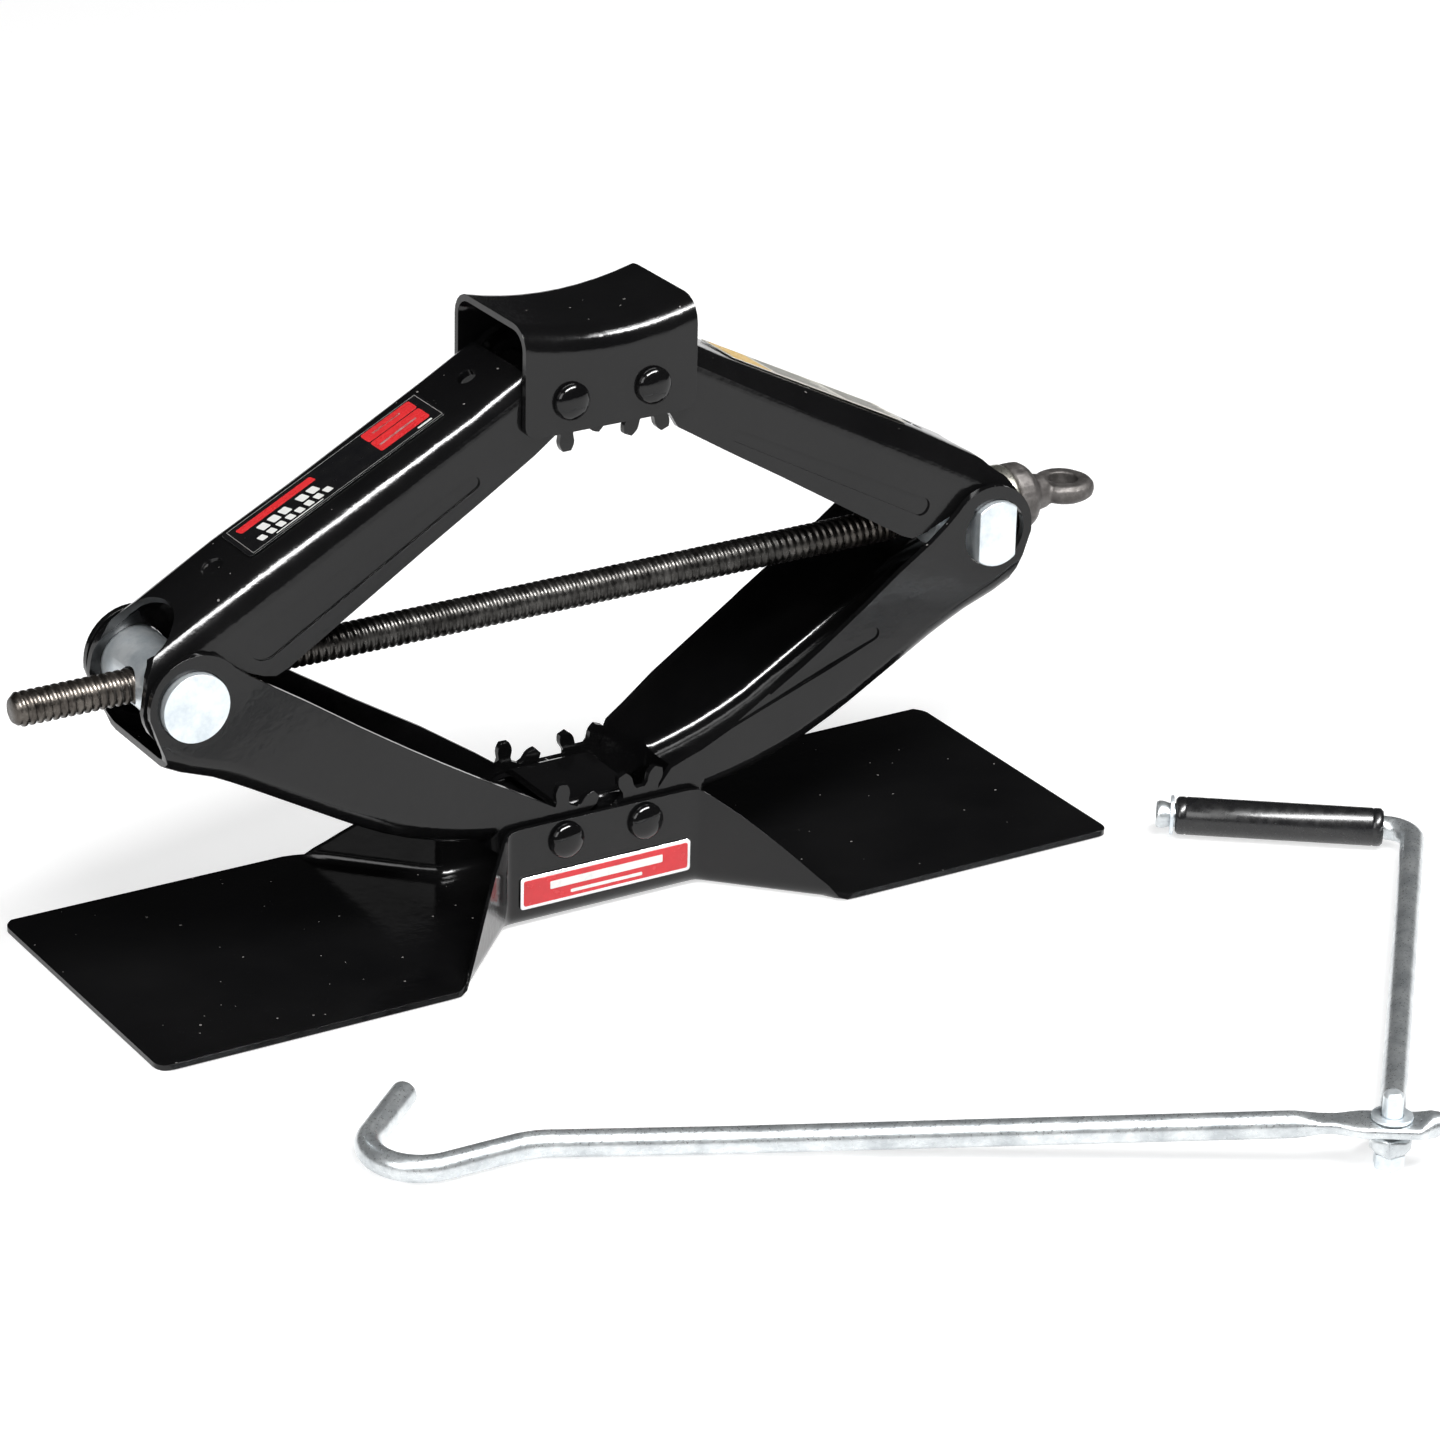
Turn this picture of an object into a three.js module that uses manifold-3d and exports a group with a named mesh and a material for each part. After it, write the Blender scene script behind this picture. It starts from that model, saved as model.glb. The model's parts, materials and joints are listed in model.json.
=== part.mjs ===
// Scissor stabilizer jack with its folding crank handle, in millimetres.
// +X runs along the jack towards the drive eye, +Z is up, and the origin is the centre of
// the underside of the base plate. Every piece is its own closed solid.
import * as THREE from 'three';
import { mergeVertices } from 'three/addons/utils/BufferGeometryUtils.js';
import Module from 'manifold-3d';

const wasm = await Module();
wasm.setup();

const DEG = Math.PI / 180;

// ---------------------------------------------------------------- driving dimensions
const ARM_LENGTH = 167;          // arm pivot to trunnion
const REST_ANGLE = 29.6 * DEG;   // slope of the arms in the pose shown
const PIVOT_HALF = 16.2;         // half the spacing of each pair of pivots
const BASE_PIVOT_Z = 30.8;       // base pivots above the floor
const SHEET = 2.5;               // pressed steel sheet
const LAYER_GAP = 0.5;           // side clearance between neighbouring sheets

const INNER_FACE = 22;                               // outside of the arms at the pivots
const INNER_MID = INNER_FACE - SHEET / 2;
const OUTER_FACE = INNER_FACE + LAYER_GAP + SHEET;   // outside of saddle and base flanges
const OUTER_MID = OUTER_FACE - SHEET / 2;
const SPACER_FACE = INNER_FACE - SHEET - LAYER_GAP;  // outside of the spacer brackets
const SPACER_MID = SPACER_FACE - SHEET / 2;

const TRUNNION_RADIUS = 12.3;
const TRUNNION_HALF = 28.6;
const TRUNNION_HOLE = 12.7;
const THRUST_FLAT = 8;           // flats of the right trunnion, either side of its axis
const PIN_RADIUS = 5.5;
const PIN_HOLE = 5.85;
const RIVET_HEAD_RADIUS = 6.8;
const RIVET_HEAD_HEIGHT = 4;
const TOUCH_GAP = 0.3;           // left between pieces that rest on each other

const SCREW_RADIUS = 6.1;
const SCREW_BORE = 6.6;
const SCREW_LEFT_X = -216;
const SPIGOT_RADIUS = 4.3;

const BASE_SHEET = 2;
const WING_HALF_LENGTH = 194;
const WING_REAR = 64.8;          // reach of the wings behind and in front of the pivots' plane
const WING_FRONT = 62.2;
const FLANGE_TOP = 38.5;         // base flange height at the waist
const WAIST_X = 40;              // the flanges start to sweep outwards here
const FLANGE_END_X = 77;         // and have run out into the flat wing here

const SADDLE_HALF = 34;
const SADDLE_RISE = 28.4;        // pivots to the ends of the saddle top
const SADDLE_DISH = 4.5;
const SADDLE_DROP = 11.6;        // pivots down to the lower edge of the saddle walls

const TOOTH_PITCH = 45 * DEG;    // eight teeth to the full circle
const TOOTH_TIP = 19.6;
const TOOTH_ROOT = 12;
const TOOTH_HALF = 10.3 * DEG;   // half a tooth at the pitch circle, less backlash

const ROD_RADIUS = 4.6;          // hook rod of the crank
const ARM_ROD_RADIUS = 4.4;      // swinging arm of the crank
const CRANK_X = 126.4;           // hinge bolt of the crank on the floor
const CRANK_Y = -312;
const CRANK_HEADING = 147.8 * DEG;
const CRANK_ARM_ANGLE = -97.9 * DEG;
const CRANK_ARM_LENGTH = 245;
const GRIP_TURN = 93.1 * DEG;
const GRIP_RADIUS = 7.1;
const GRIP_START = 11;           // from the corner of the arm
const GRIP_LENGTH = 75.5;

const TRUNNION_Z = BASE_PIVOT_Z + ARM_LENGTH * Math.sin(REST_ANGLE);
const SADDLE_PIVOT_Z = BASE_PIVOT_Z + 2 * ARM_LENGTH * Math.sin(REST_ANGLE);
const TRUNNION_X = PIVOT_HALF + ARM_LENGTH * Math.cos(REST_ANGLE);

// ---------------------------------------------------------------- finishes
const blackEnamel = new THREE.MeshStandardMaterial({ color: 0x0b0b0c, roughness: 0.22, metalness: 0.1 });
const zinc = new THREE.MeshStandardMaterial({ color: 0xc4cdd0, roughness: 0.35, metalness: 0.9 });
const bearingZinc = new THREE.MeshStandardMaterial({ color: 0xcfcdbd, roughness: 0.4, metalness: 0.8 });
const darkSteel = new THREE.MeshStandardMaterial({ color: 0x3a332d, roughness: 0.45, metalness: 0.8 });
const forgedSteel = new THREE.MeshStandardMaterial({ color: 0x47474a, roughness: 0.5, metalness: 0.7 });
const blackPlastic = new THREE.MeshStandardMaterial({ color: 0x161617, roughness: 0.45, metalness: 0 });
const badgeRed = new THREE.MeshStandardMaterial({ color: 0xc8202c, roughness: 0.35, metalness: 0.2 });
const labelFilm = new THREE.MeshStandardMaterial({ color: 0x101012, roughness: 0.3, metalness: 0 });
const labelPale = new THREE.MeshStandardMaterial({ color: 0xd9d6c8, roughness: 0.4, metalness: 0 });

// ---------------------------------------------------------------- solids
function toSolid(geometry) {
  const bare = geometry.index ? geometry.toNonIndexed() : geometry.clone();
  bare.deleteAttribute('normal');
  bare.deleteAttribute('uv');
  const merged = mergeVertices(bare, 1e-4);
  return new wasm.Manifold(new wasm.Mesh({
    numProp: 3,
    vertProperties: new Float32Array(merged.attributes.position.array),
    triVerts: new Uint32Array(merged.index.array),
  }));
}

function toGeometry(solid) {
  const mesh = solid.getMesh();
  const geometry = new THREE.BufferGeometry();
  geometry.setAttribute('position', new THREE.BufferAttribute(new Float32Array(mesh.vertProperties), 3));
  geometry.setIndex(new THREE.BufferAttribute(new Uint32Array(mesh.triVerts), 1));
  geometry.computeVertexNormals();
  return geometry;
}

function piece(name, shape, material) {
  const geometry = shape instanceof THREE.BufferGeometry ? shape : toGeometry(shape);
  const mesh = new THREE.Mesh(geometry, material);
  mesh.name = name;
  return mesh;
}

// A side outline drawn in X and Z, made solid between two Y values.
function sidePlate(shape, yLow, yHigh, curveSegments = 12) {
  const settings = { depth: yHigh - yLow, bevelEnabled: false, curveSegments };
  const geometry = new THREE.ExtrudeGeometry(shape, settings);
  geometry.rotateX(Math.PI / 2);
  geometry.translate(0, yHigh, 0);
  return toSolid(geometry);
}

// An outline drawn in X and Y, made solid between two heights.
function floorPlate(shape, zLow, zHigh, curveSegments = 12) {
  const settings = { depth: zHigh - zLow, bevelEnabled: false, curveSegments };
  const geometry = new THREE.ExtrudeGeometry(shape, settings);
  geometry.translate(0, 0, zLow);
  return toSolid(geometry);
}

function rodAlongY(radius, half, x, z, segments = 32) {
  const geometry = new THREE.CylinderGeometry(radius, radius, 2 * half, segments);
  geometry.translate(x, 0, z);
  return toSolid(geometry);
}

function rodAlongX(radius, xLow, xHigh, segments = 32) {
  const geometry = new THREE.CylinderGeometry(radius, radius, xHigh - xLow, segments);
  geometry.rotateZ(-Math.PI / 2);
  geometry.translate((xLow + xHigh) / 2, 0, 0);
  return toSolid(geometry);
}

function rodAlongZ(radius, zLow, zHigh, x, y, segments = 24) {
  const geometry = new THREE.CylinderGeometry(radius, radius, zHigh - zLow, segments);
  geometry.rotateX(Math.PI / 2);
  geometry.translate(x, y, (zLow + zHigh) / 2);
  return toSolid(geometry);
}

function block(xLow, xHigh, yLow, yHigh, zLow, zHigh) {
  const geometry = new THREE.BoxGeometry(xHigh - xLow, yHigh - yLow, zHigh - zLow);
  geometry.translate((xLow + xHigh) / 2, (yLow + yHigh) / 2, (zLow + zHigh) / 2);
  return toSolid(geometry);
}

// A profile of [radius, along] points turned round the X axis.
function turnedAlongX(profile, segments = 28) {
  const points = profile.map(([radius, along]) => new THREE.Vector2(radius, along));
  const geometry = new THREE.LatheGeometry(points, segments);
  geometry.rotateZ(-Math.PI / 2);
  return geometry;
}

function roundedRectangle(halfLength, halfWidth, radius) {
  const shape = new THREE.Shape();
  shape.absarc(halfLength - radius, -halfWidth + radius, radius, -Math.PI / 2, 0);
  shape.absarc(halfLength - radius, halfWidth - radius, radius, 0, Math.PI / 2);
  shape.absarc(-halfLength + radius, halfWidth - radius, radius, Math.PI / 2, Math.PI);
  shape.absarc(-halfLength + radius, -halfWidth + radius, radius, Math.PI, 1.5 * Math.PI);
  return shape;
}

// A pressed sheet lofted along X. section(x) gives its mid-surface as points across Y and Z.
function sheetLoft(stations, section, thickness = SHEET) {
  const rings = stations.map((x) => {
    const mid = section(x);
    const above = [];
    const below = [];
    mid.forEach((point, i) => {
      const before = mid[Math.max(i - 1, 0)];
      const after = mid[Math.min(i + 1, mid.length - 1)];
      const along = new THREE.Vector2().subVectors(after, before).normalize();
      const shiftY = -along.y * thickness / 2;
      const shiftZ = along.x * thickness / 2;
      above.push([x, point.x + shiftY, point.y + shiftZ]);
      below.unshift([x, point.x - shiftY, point.y - shiftZ]);
    });
    return above.concat(below);
  });
  const size = rings[0].length;
  const triangles = [];
  for (let i = 0; i + 1 < rings.length; i += 1) {
    for (let k = 0; k < size; k += 1) {
      const next = (k + 1) % size;
      const corners = [i * size + k, i * size + next, (i + 1) * size + next, (i + 1) * size + k];
      triangles.push(corners[0], corners[2], corners[1], corners[0], corners[3], corners[2]);
    }
  }
  const last = (rings.length - 1) * size;
  for (let k = 0; k + 1 < size / 2; k += 1) {
    const strip = [k, k + 1, size - 2 - k, size - 1 - k];
    triangles.push(strip[0], strip[1], strip[2], strip[0], strip[2], strip[3]);
    triangles.push(last + strip[0], last + strip[2], last + strip[1]);
    triangles.push(last + strip[0], last + strip[3], last + strip[2]);
  }
  const geometry = new THREE.BufferGeometry();
  geometry.setAttribute('position', new THREE.BufferAttribute(new Float32Array(rings.flat(2)), 3));
  geometry.setIndex(triangles);
  return toSolid(geometry);
}

// Mid-surface of a channel that opens downwards: up one wall, over the web, down the other.
function channelSection(halfWidth, web, rim, bend, steps = 5) {
  const points = [new THREE.Vector2(-halfWidth, rim)];
  const cornerPoint = (middle, angle) => new THREE.Vector2(
    middle + bend * Math.cos(angle),
    web - bend + bend * Math.sin(angle),
  );
  for (let i = 0; i <= steps; i += 1) {
    points.push(cornerPoint(-halfWidth + bend, Math.PI - i / steps * Math.PI / 2));
  }
  for (let i = 0; i <= steps; i += 1) {
    points.push(cornerPoint(halfWidth - bend, Math.PI / 2 - i / steps * Math.PI / 2));
  }
  points.push(new THREE.Vector2(halfWidth, rim));
  return points;
}

function range(from, to, count) {
  return Array.from({ length: count + 1 }, (_, i) => from + (to - from) * i / count);
}
const clamp01 = (value) => Math.min(Math.max(value, 0), 1);
const smooth = (value) => clamp01(value) ** 2 * (3 - 2 * clamp01(value));

// ---------------------------------------------------------------- tubes along a bent line
// Stations are placed by hand, so straight stretches cost nothing.
class StationPath extends THREE.Curve {
  constructor(points) {
    super();
    this.points = points;
  }

  getPoint(t) {
    const place = t * (this.points.length - 1);
    const low = Math.min(Math.floor(place), this.points.length - 2);
    return new THREE.Vector3().lerpVectors(this.points[low], this.points[low + 1], place - low);
  }

  getPointAt(u) {
    return this.getPoint(u);
  }

  getTangentAt(u) {
    const index = Math.round(u * (this.points.length - 1));
    const before = this.points[Math.max(index - 1, 0)];
    const after = this.points[Math.min(index + 1, this.points.length - 1)];
    return new THREE.Vector3().subVectors(after, before).normalize();
  }
}

// Corners of a bent rod with the bend radius at each, turned into stations.
function bentLine(corners, steps = 5) {
  const stations = [];
  corners.forEach(({ at, radius }, i) => {
    if (!radius) {
      stations.push(at);
      return;
    }
    const inward = new THREE.Vector3().subVectors(corners[i - 1].at, at).normalize();
    const outward = new THREE.Vector3().subVectors(corners[i + 1].at, at).normalize();
    const half = inward.angleTo(outward) / 2;
    const centreDirection = new THREE.Vector3().addVectors(inward, outward).normalize();
    const centre = at.clone().addScaledVector(centreDirection, radius / Math.sin(half));
    const start = at.clone().addScaledVector(inward, radius / Math.tan(half)).sub(centre);
    const axis = new THREE.Vector3().crossVectors(outward, inward).normalize();
    for (let k = 0; k <= steps; k += 1) {
      const turn = (Math.PI - 2 * half) * k / steps;
      stations.push(start.clone().applyAxisAngle(axis, turn).add(centre));
    }
  });
  return stations;
}

function bentRod(stations, radius, sides = 12) {
  const section = new THREE.Shape();
  section.absarc(0, 0, radius, 0, 2 * Math.PI);
  const geometry = new THREE.ExtrudeGeometry(section, {
    steps: stations.length - 1,
    extrudePath: new StationPath(stations),
    curveSegments: sides,
  });
  return toSolid(geometry);
}

// ---------------------------------------------------------------- arms
// Every arm is drawn with its pivot at the origin, its trunnion at x = ARM_LENGTH and its
// web towards +Z. The teeth have radial flanks below the pitch circle and, above it, the curve
// traced by a circle half its size rolling round it.
function toothHalfAngle(radius) {
  if (radius <= PIVOT_HALF) {
    return TOOTH_HALF;
  }
  const rolling = PIVOT_HALF / 2;
  const reach = PIVOT_HALF + rolling;
  const roll = Math.acos((reach ** 2 + rolling ** 2 - radius ** 2) / (2 * reach * rolling)) / 2;
  const x = reach * Math.cos(roll) - rolling * Math.cos(3 * roll);
  const y = reach * Math.sin(roll) - rolling * Math.sin(3 * roll);
  return TOOTH_HALF - Math.atan2(y, x);
}

function toothPoints({ firstTooth, teeth }) {
  const radii = [TOOTH_ROOT + 1.6, PIVOT_HALF, 17.4, 18.4, 19.1, TOOTH_TIP];
  const rootTurn = 4 * DEG;
  const points = [];
  for (let k = 0; k < teeth; k += 1) {
    const centre = firstTooth + k * TOOTH_PITCH;
    const foot = TOOTH_HALF + rootTurn;
    const rising = radii.map((radius) => [radius, centre - toothHalfAngle(radius)]);
    const falling = radii.map((radius) => [radius, centre + toothHalfAngle(radius)]).reverse();
    points.push([TOOTH_ROOT, centre - foot], ...rising, ...falling, [TOOTH_ROOT, centre + foot]);
  }
  return points.map(([radius, angle]) => new THREE.Vector2(
    radius * Math.cos(angle),
    radius * Math.sin(angle),
  ));
}

const HEEL_RADIUS = 14.5;        // wall round the pivot, away from the teeth
const UPPER_WEB = 18;            // outside of the upper arms' web from the pivot line
const UPPER_WEB_RISE = 4.2;      // the web climbs by this much towards the trunnion
const UPPER_RISE_START = 30;
const UPPER_RISE_END = 123;
const UPPER_LUG = 17;
const UPPER_WEB_START = 8;
const NOTCH_RADIUS = 17;
const LOWER_LUG = 17.7;
const LOWER_WEB_START = 26;
const BEARING_NOTCH = 14.2;
const RISE_ANGLE = Math.atan(UPPER_WEB_RISE / (UPPER_RISE_END - UPPER_RISE_START));

function traceTeeth(shape, gear) {
  toothPoints(gear).forEach((point, i) => {
    if (i) {
      shape.lineTo(point.x, point.y);
    } else {
      shape.moveTo(point.x, point.y);
    }
  });
}

// Round the pivot on the heel circle, then along the root circle to the first tooth.
function traceHeel(shape, heelStart, gear) {
  shape.absarc(0, 0, HEEL_RADIUS, heelStart, gear.heelEnd);
  shape.absarc(0, 0, TOOTH_ROOT, gear.heelEnd, gear.firstTooth - TOOTH_HALF - 5 * DEG);
}

function traceLine(shape, points) {
  points.forEach(([x, y]) => shape.lineTo(x, y));
}

function upperOutline(gear) {
  const shape = new THREE.Shape();
  const heelStart = Math.acos(UPPER_WEB_START / HEEL_RADIUS);
  traceTeeth(shape, gear);
  traceLine(shape, [[20, -10.2], [46, -11.3], [70, -12], [95, -13], [132, -14.6]]);
  traceLine(shape, [[137, -14], [140.5, -11], [146, -4], [149.2, 0]]);
  shape.absarc(ARM_LENGTH, 0, UPPER_LUG, 182 * DEG, 385 * DEG);
  traceLine(shape, [[178.5, 12], [174, 16.2], [168, 19.4], [161, 21.3], [152, 24], [UPPER_WEB_START, 24]]);
  traceHeel(shape, heelStart, gear);
  return shape;
}

// Inner edges of the lower arms' walls, [along the arm, from the pivot line], on the +Y side
// and on the -Y side of the jack.
const LEFT_EDGES = {
  rear: [[19, -10], [45, -12], [75, -12.8], [102, -14.2], [125, -16], [152, -17.2]],
  front: [[19, -9], [45, -9.4], [61, -10], [78, -10.9], [101, -12.4], [124, -14.3], [152, -16.2]],
};
const RIGHT_EDGES = {
  rear: [[19, -11], [43, -13.6], [84, -14.8], [110, -16.4], [136, -18], [152, -17.6]],
  front: [[19, -8.2], [32, -5.9], [45, -5.2], [78, -7.3], [111, -10.4], [144, -14.3], [152, -15.6]],
};

function lowerOutline(gear, innerEdge) {
  const shape = new THREE.Shape();
  traceTeeth(shape, gear);
  traceLine(shape, innerEdge);
  shape.absarc(ARM_LENGTH - 1.2, -1, LOWER_LUG, 246 * DEG, 388 * DEG);
  traceLine(shape, [[180, 9.8], [172.5, 16.3], [165, 22], [161.5, 27]]);
  traceLine(shape, [[LOWER_WEB_START + 50, 27], [LOWER_WEB_START + 8, 18], [LOWER_WEB_START, 13.6]]);
  traceHeel(shape, 78 * DEG, gear);
  return shape;
}

function armHoles(solid) {
  return solid
    .subtract(rodAlongY(PIN_HOLE, 40, 0, 0, 24))
    .subtract(rodAlongY(TRUNNION_HOLE, 40, ARM_LENGTH, 0, 32));
}

function upperWeb(x) {
  return UPPER_WEB + UPPER_WEB_RISE * clamp01((x - UPPER_RISE_START) / (UPPER_RISE_END - UPPER_RISE_START));
}

function upperArm(gear) {
  const bendAt = (x) => 7.75 + 3 * clamp01((x - UPPER_RISE_START) / 60);
  const section = (x) => channelSection(INNER_MID, upperWeb(x) - SHEET / 2, -30, bendAt(x));
  const channel = sheetLoft([-24, UPPER_RISE_START, 90, UPPER_RISE_END, ARM_LENGTH + 24], section);
  const notch = new THREE.Shape();
  notch.moveTo(ARM_LENGTH + 30, NOTCH_RADIUS);
  notch.absarc(ARM_LENGTH, 0, NOTCH_RADIUS, Math.PI / 2, 1.5 * Math.PI);
  notch.lineTo(ARM_LENGTH + 30, -NOTCH_RADIUS);
  const webHole = rodAlongZ(3.6, UPPER_WEB - 6, UPPER_WEB + 6, 20.6, 0, 16);
  const outlined = channel.intersect(sidePlate(upperOutline(gear), -30, 30, 8));
  return armHoles(outlined.subtract(floorPlate(notch, 0, 40, 10)).subtract(webHole));
}

// The lower arms deepen towards the trunnion and splay to pass outside the upper arms.
function lowerWeb(x) {
  if (x < LOWER_WEB_START) {
    return 12 + (LOWER_WEB_START - x) * 1.4;
  }
  const hollow = Math.max(80 - x, 0) / 54;
  const lip = 2.8 * smooth((x - 140) / 22);
  return 22 - 9.5 * hollow * hollow + lip;
}

function lowerHalfWidth(x) {
  const splay = OUTER_MID - INNER_MID;
  const lugStep = 1;
  return INNER_MID + splay * clamp01((x - 28) / 60) + lugStep * smooth((x - 128) / 16);
}

function lowerArm(gear, edges, rearSide) {
  const stations = [-24, 18, 26, 28, 36, 46, 57, 68, 80, 88, 128, 136, 144, 151, 157, 164, 190];
  const section = (x) => channelSection(lowerHalfWidth(x), lowerWeb(x) - SHEET / 2, -30, 7.5, 4);
  const halves = [[edges.rear, rearSide], [edges.front, -rearSide]].map(([innerEdge, side]) => (
    sidePlate(lowerOutline(gear, innerEdge), Math.min(side * 30, 0), Math.max(side * 30, 0), 8)
  ));
  return armHoles(sheetLoft(stations, section).intersect(halves[0].add(halves[1])));
}

// The web of the right lower arm is notched to let the thrust bearing swing past it.
function bearingNotch() {
  return rodAlongZ(BEARING_NOTCH, LOWER_LUG - 4, 40, ARM_LENGTH + 7.5, 0, 28);
}

// The teeth of the left arms stand half a pitch away from those of the right, so a pair meshes.
const RIGHT_GEAR = { firstTooth: 186 * DEG, teeth: 4, heelEnd: 168 * DEG };
const LEFT_GEAR = { firstTooth: RIGHT_GEAR.firstTooth + TOOTH_PITCH / 2, teeth: 3, heelEnd: 145 * DEG };

function placedArm(mesh, pivotX, pivotZ, flip, tilt) {
  const pivot = new THREE.Group();
  mesh.rotation.set(...flip);
  pivot.add(mesh);
  pivot.position.set(pivotX, 0, pivotZ);
  pivot.rotation.y = tilt;
  return pivot;
}

// Printed film on the web of an upper arm, lying on its slope.
function webLabel(name, material) {
  const reach = UPPER_RISE_END - UPPER_RISE_START;
  const label = floorPlate(roundedRectangle(42, 11, 1.5), 0, 0.3, 3);
  const film = piece(name, label.translate([reach / 2 + 2, 0, TOUCH_GAP]), material);
  film.position.set(UPPER_RISE_START, 0, UPPER_WEB);
  film.rotation.y = -RISE_ANGLE;
  return film;
}

function arms() {
  const group = new THREE.Group();
  const rightArm = lowerArm(RIGHT_GEAR, RIGHT_EDGES, -1).subtract(bearingNotch());
  const lowerRight = piece('lower_right_arm', rightArm, blackEnamel);
  const lowerLeft = piece('lower_left_arm', lowerArm(LEFT_GEAR, LEFT_EDGES, 1), blackEnamel);
  const upperRight = new THREE.Group();
  upperRight.add(piece('upper_right_arm', upperArm(RIGHT_GEAR), blackEnamel));
  upperRight.add(webLabel('upper_right_label', labelPale));
  const upperLeft = new THREE.Group();
  upperLeft.add(piece('upper_left_arm', upperArm(LEFT_GEAR), blackEnamel));
  upperLeft.add(webLabel('upper_left_label', labelFilm));
  group.add(
    placedArm(lowerRight, PIVOT_HALF, BASE_PIVOT_Z, [Math.PI, 0, 0], -REST_ANGLE),
    placedArm(lowerLeft, -PIVOT_HALF, BASE_PIVOT_Z, [0, Math.PI, 0], REST_ANGLE),
    placedArm(upperRight, PIVOT_HALF, SADDLE_PIVOT_Z, [0, 0, 0], REST_ANGLE),
    placedArm(upperLeft, -PIVOT_HALF, SADDLE_PIVOT_Z, [0, 0, Math.PI], -REST_ANGLE),
  );
  return group;
}

// ---------------------------------------------------------------- base
// The larger or the smaller of two values, with the corner between them rounded off.
const softMax = (a, b, blend) => (a + b + Math.hypot(a - b, blend)) / 2;
const softMin = (a, b, blend) => (a + b - Math.hypot(a - b, blend)) / 2;

// Upright flanges along the waist sweep outwards and run down to nothing at the wings.
function baseHalfSection(x, wingReach) {
  const bend = 5.5;
  const sweep = OUTER_FACE + 1.02 * (Math.abs(x) - WAIST_X);
  const outerFace = softMin(softMax(OUTER_FACE, sweep, 1.2), wingReach, 2);
  const fall = clamp01((Math.abs(x) - WAIST_X + 3) / (FLANGE_END_X - WAIST_X + 3)) ** 1.25;
  const height = softMax((FLANGE_TOP - BASE_SHEET / 2) * (1 - fall), 0.12, 0.3);
  const angle = height < bend ? Math.acos(1 - height / bend) : Math.PI / 2;
  const tip = Math.max(height - bend, 0.5);
  const wall = outerFace - BASE_SHEET / 2 * Math.sin(angle);
  const flat = wall - bend * Math.sin(angle) - tip * Math.cos(angle);
  const half = range(0, angle, 5).map((turn) => (
    new THREE.Vector2(flat + bend * Math.sin(turn), BASE_SHEET / 2 + bend * (1 - Math.cos(turn)))
  ));
  const edge = half[half.length - 1];
  half.push(new THREE.Vector2(edge.x + tip * Math.cos(angle), edge.y + tip * Math.sin(angle)));
  return half;
}

function basePlate() {
  const flare = [34, 38, 40, 42, 46, 51, 56, 61, 66, 70, 73, 76, 79, 83];
  const mirroredFlare = flare.map((x) => -x).reverse();
  const stations = [-WING_HALF_LENGTH, ...mirroredFlare, ...flare, WING_HALF_LENGTH];
  const section = (x) => {
    const front = baseHalfSection(x, WING_FRONT).map((point) => new THREE.Vector2(-point.x, point.y));
    return front.reverse().concat(baseHalfSection(x, WING_REAR));
  };
  const outline = roundedRectangle(WING_HALF_LENGTH - 0.1, (WING_REAR + WING_FRONT) / 2, 6);
  return sheetLoft(stations, section, BASE_SHEET)
    .intersect(floorPlate(outline, -1, 60, 4).translate([0, (WING_REAR - WING_FRONT) / 2, 0]))
    .subtract(rodAlongY(PIN_HOLE, 40, -PIVOT_HALF, BASE_PIVOT_Z, 24))
    .subtract(rodAlongY(PIN_HOLE, 40, PIVOT_HALF, BASE_PIVOT_Z, 24));
}

// The bracket that keeps a pair of arms apart: a plate over the pins with a cheek on each side.
function spacerBracket() {
  const cheekReach = PIVOT_HALF + 8.5;
  const plateHalf = 15.5;
  const plateTop = 11;
  const section = () => channelSection(SPACER_MID, plateTop - SHEET / 2, -20, 3.25, 3);
  const outline = new THREE.Shape();
  outline.absarc(PIVOT_HALF, 0, cheekReach - PIVOT_HALF, -Math.PI / 2, Math.PI / 2);
  outline.lineTo(plateHalf, plateTop + 1);
  outline.lineTo(-plateHalf, plateTop + 1);
  outline.lineTo(-PIVOT_HALF, cheekReach - PIVOT_HALF);
  outline.absarc(-PIVOT_HALF, 0, cheekReach - PIVOT_HALF, Math.PI / 2, 1.5 * Math.PI);
  return sheetLoft([-cheekReach - 2, cheekReach + 2], section)
    .intersect(sidePlate(outline, -30, 30, 8))
    .subtract(rodAlongY(PIN_HOLE, 40, -PIVOT_HALF, 0, 24))
    .subtract(rodAlongY(PIN_HOLE, 40, PIVOT_HALF, 0, 24));
}

// A shouldered pin with a domed head outside each flange.
function pivotPin() {
  const seat = OUTER_FACE + TOUCH_GAP;
  const half = [
    [PIN_RADIUS, 0], [PIN_RADIUS, seat],
    [RIVET_HEAD_RADIUS, seat], [RIVET_HEAD_RADIUS, seat + 0.6],
  ];
  const steps = 4;
  for (let i = 1; i < steps; i += 1) {
    const turn = Math.PI / 2 * i / steps;
    const rise = 0.6 + (RIVET_HEAD_HEIGHT - 0.6) * Math.sin(turn);
    half.push([RIVET_HEAD_RADIUS * Math.cos(turn), seat + rise]);
  }
  half.push([0, seat + RIVET_HEAD_HEIGHT]);
  const lower = half.slice(1).map(([radius, along]) => [radius, -along]).reverse();
  const profile = lower.concat(half.slice(1)).map(([radius, along]) => new THREE.Vector2(radius, along));
  return new THREE.LatheGeometry(profile, 18);
}

function frontBadge() {
  const geometry = new THREE.ExtrudeGeometry(
    roundedRectangle(35, 6.2, 1.4),
    { depth: 0.8, bevelEnabled: false, curveSegments: 3 },
  );
  geometry.rotateX(Math.PI / 2);
  return geometry;
}

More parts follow.
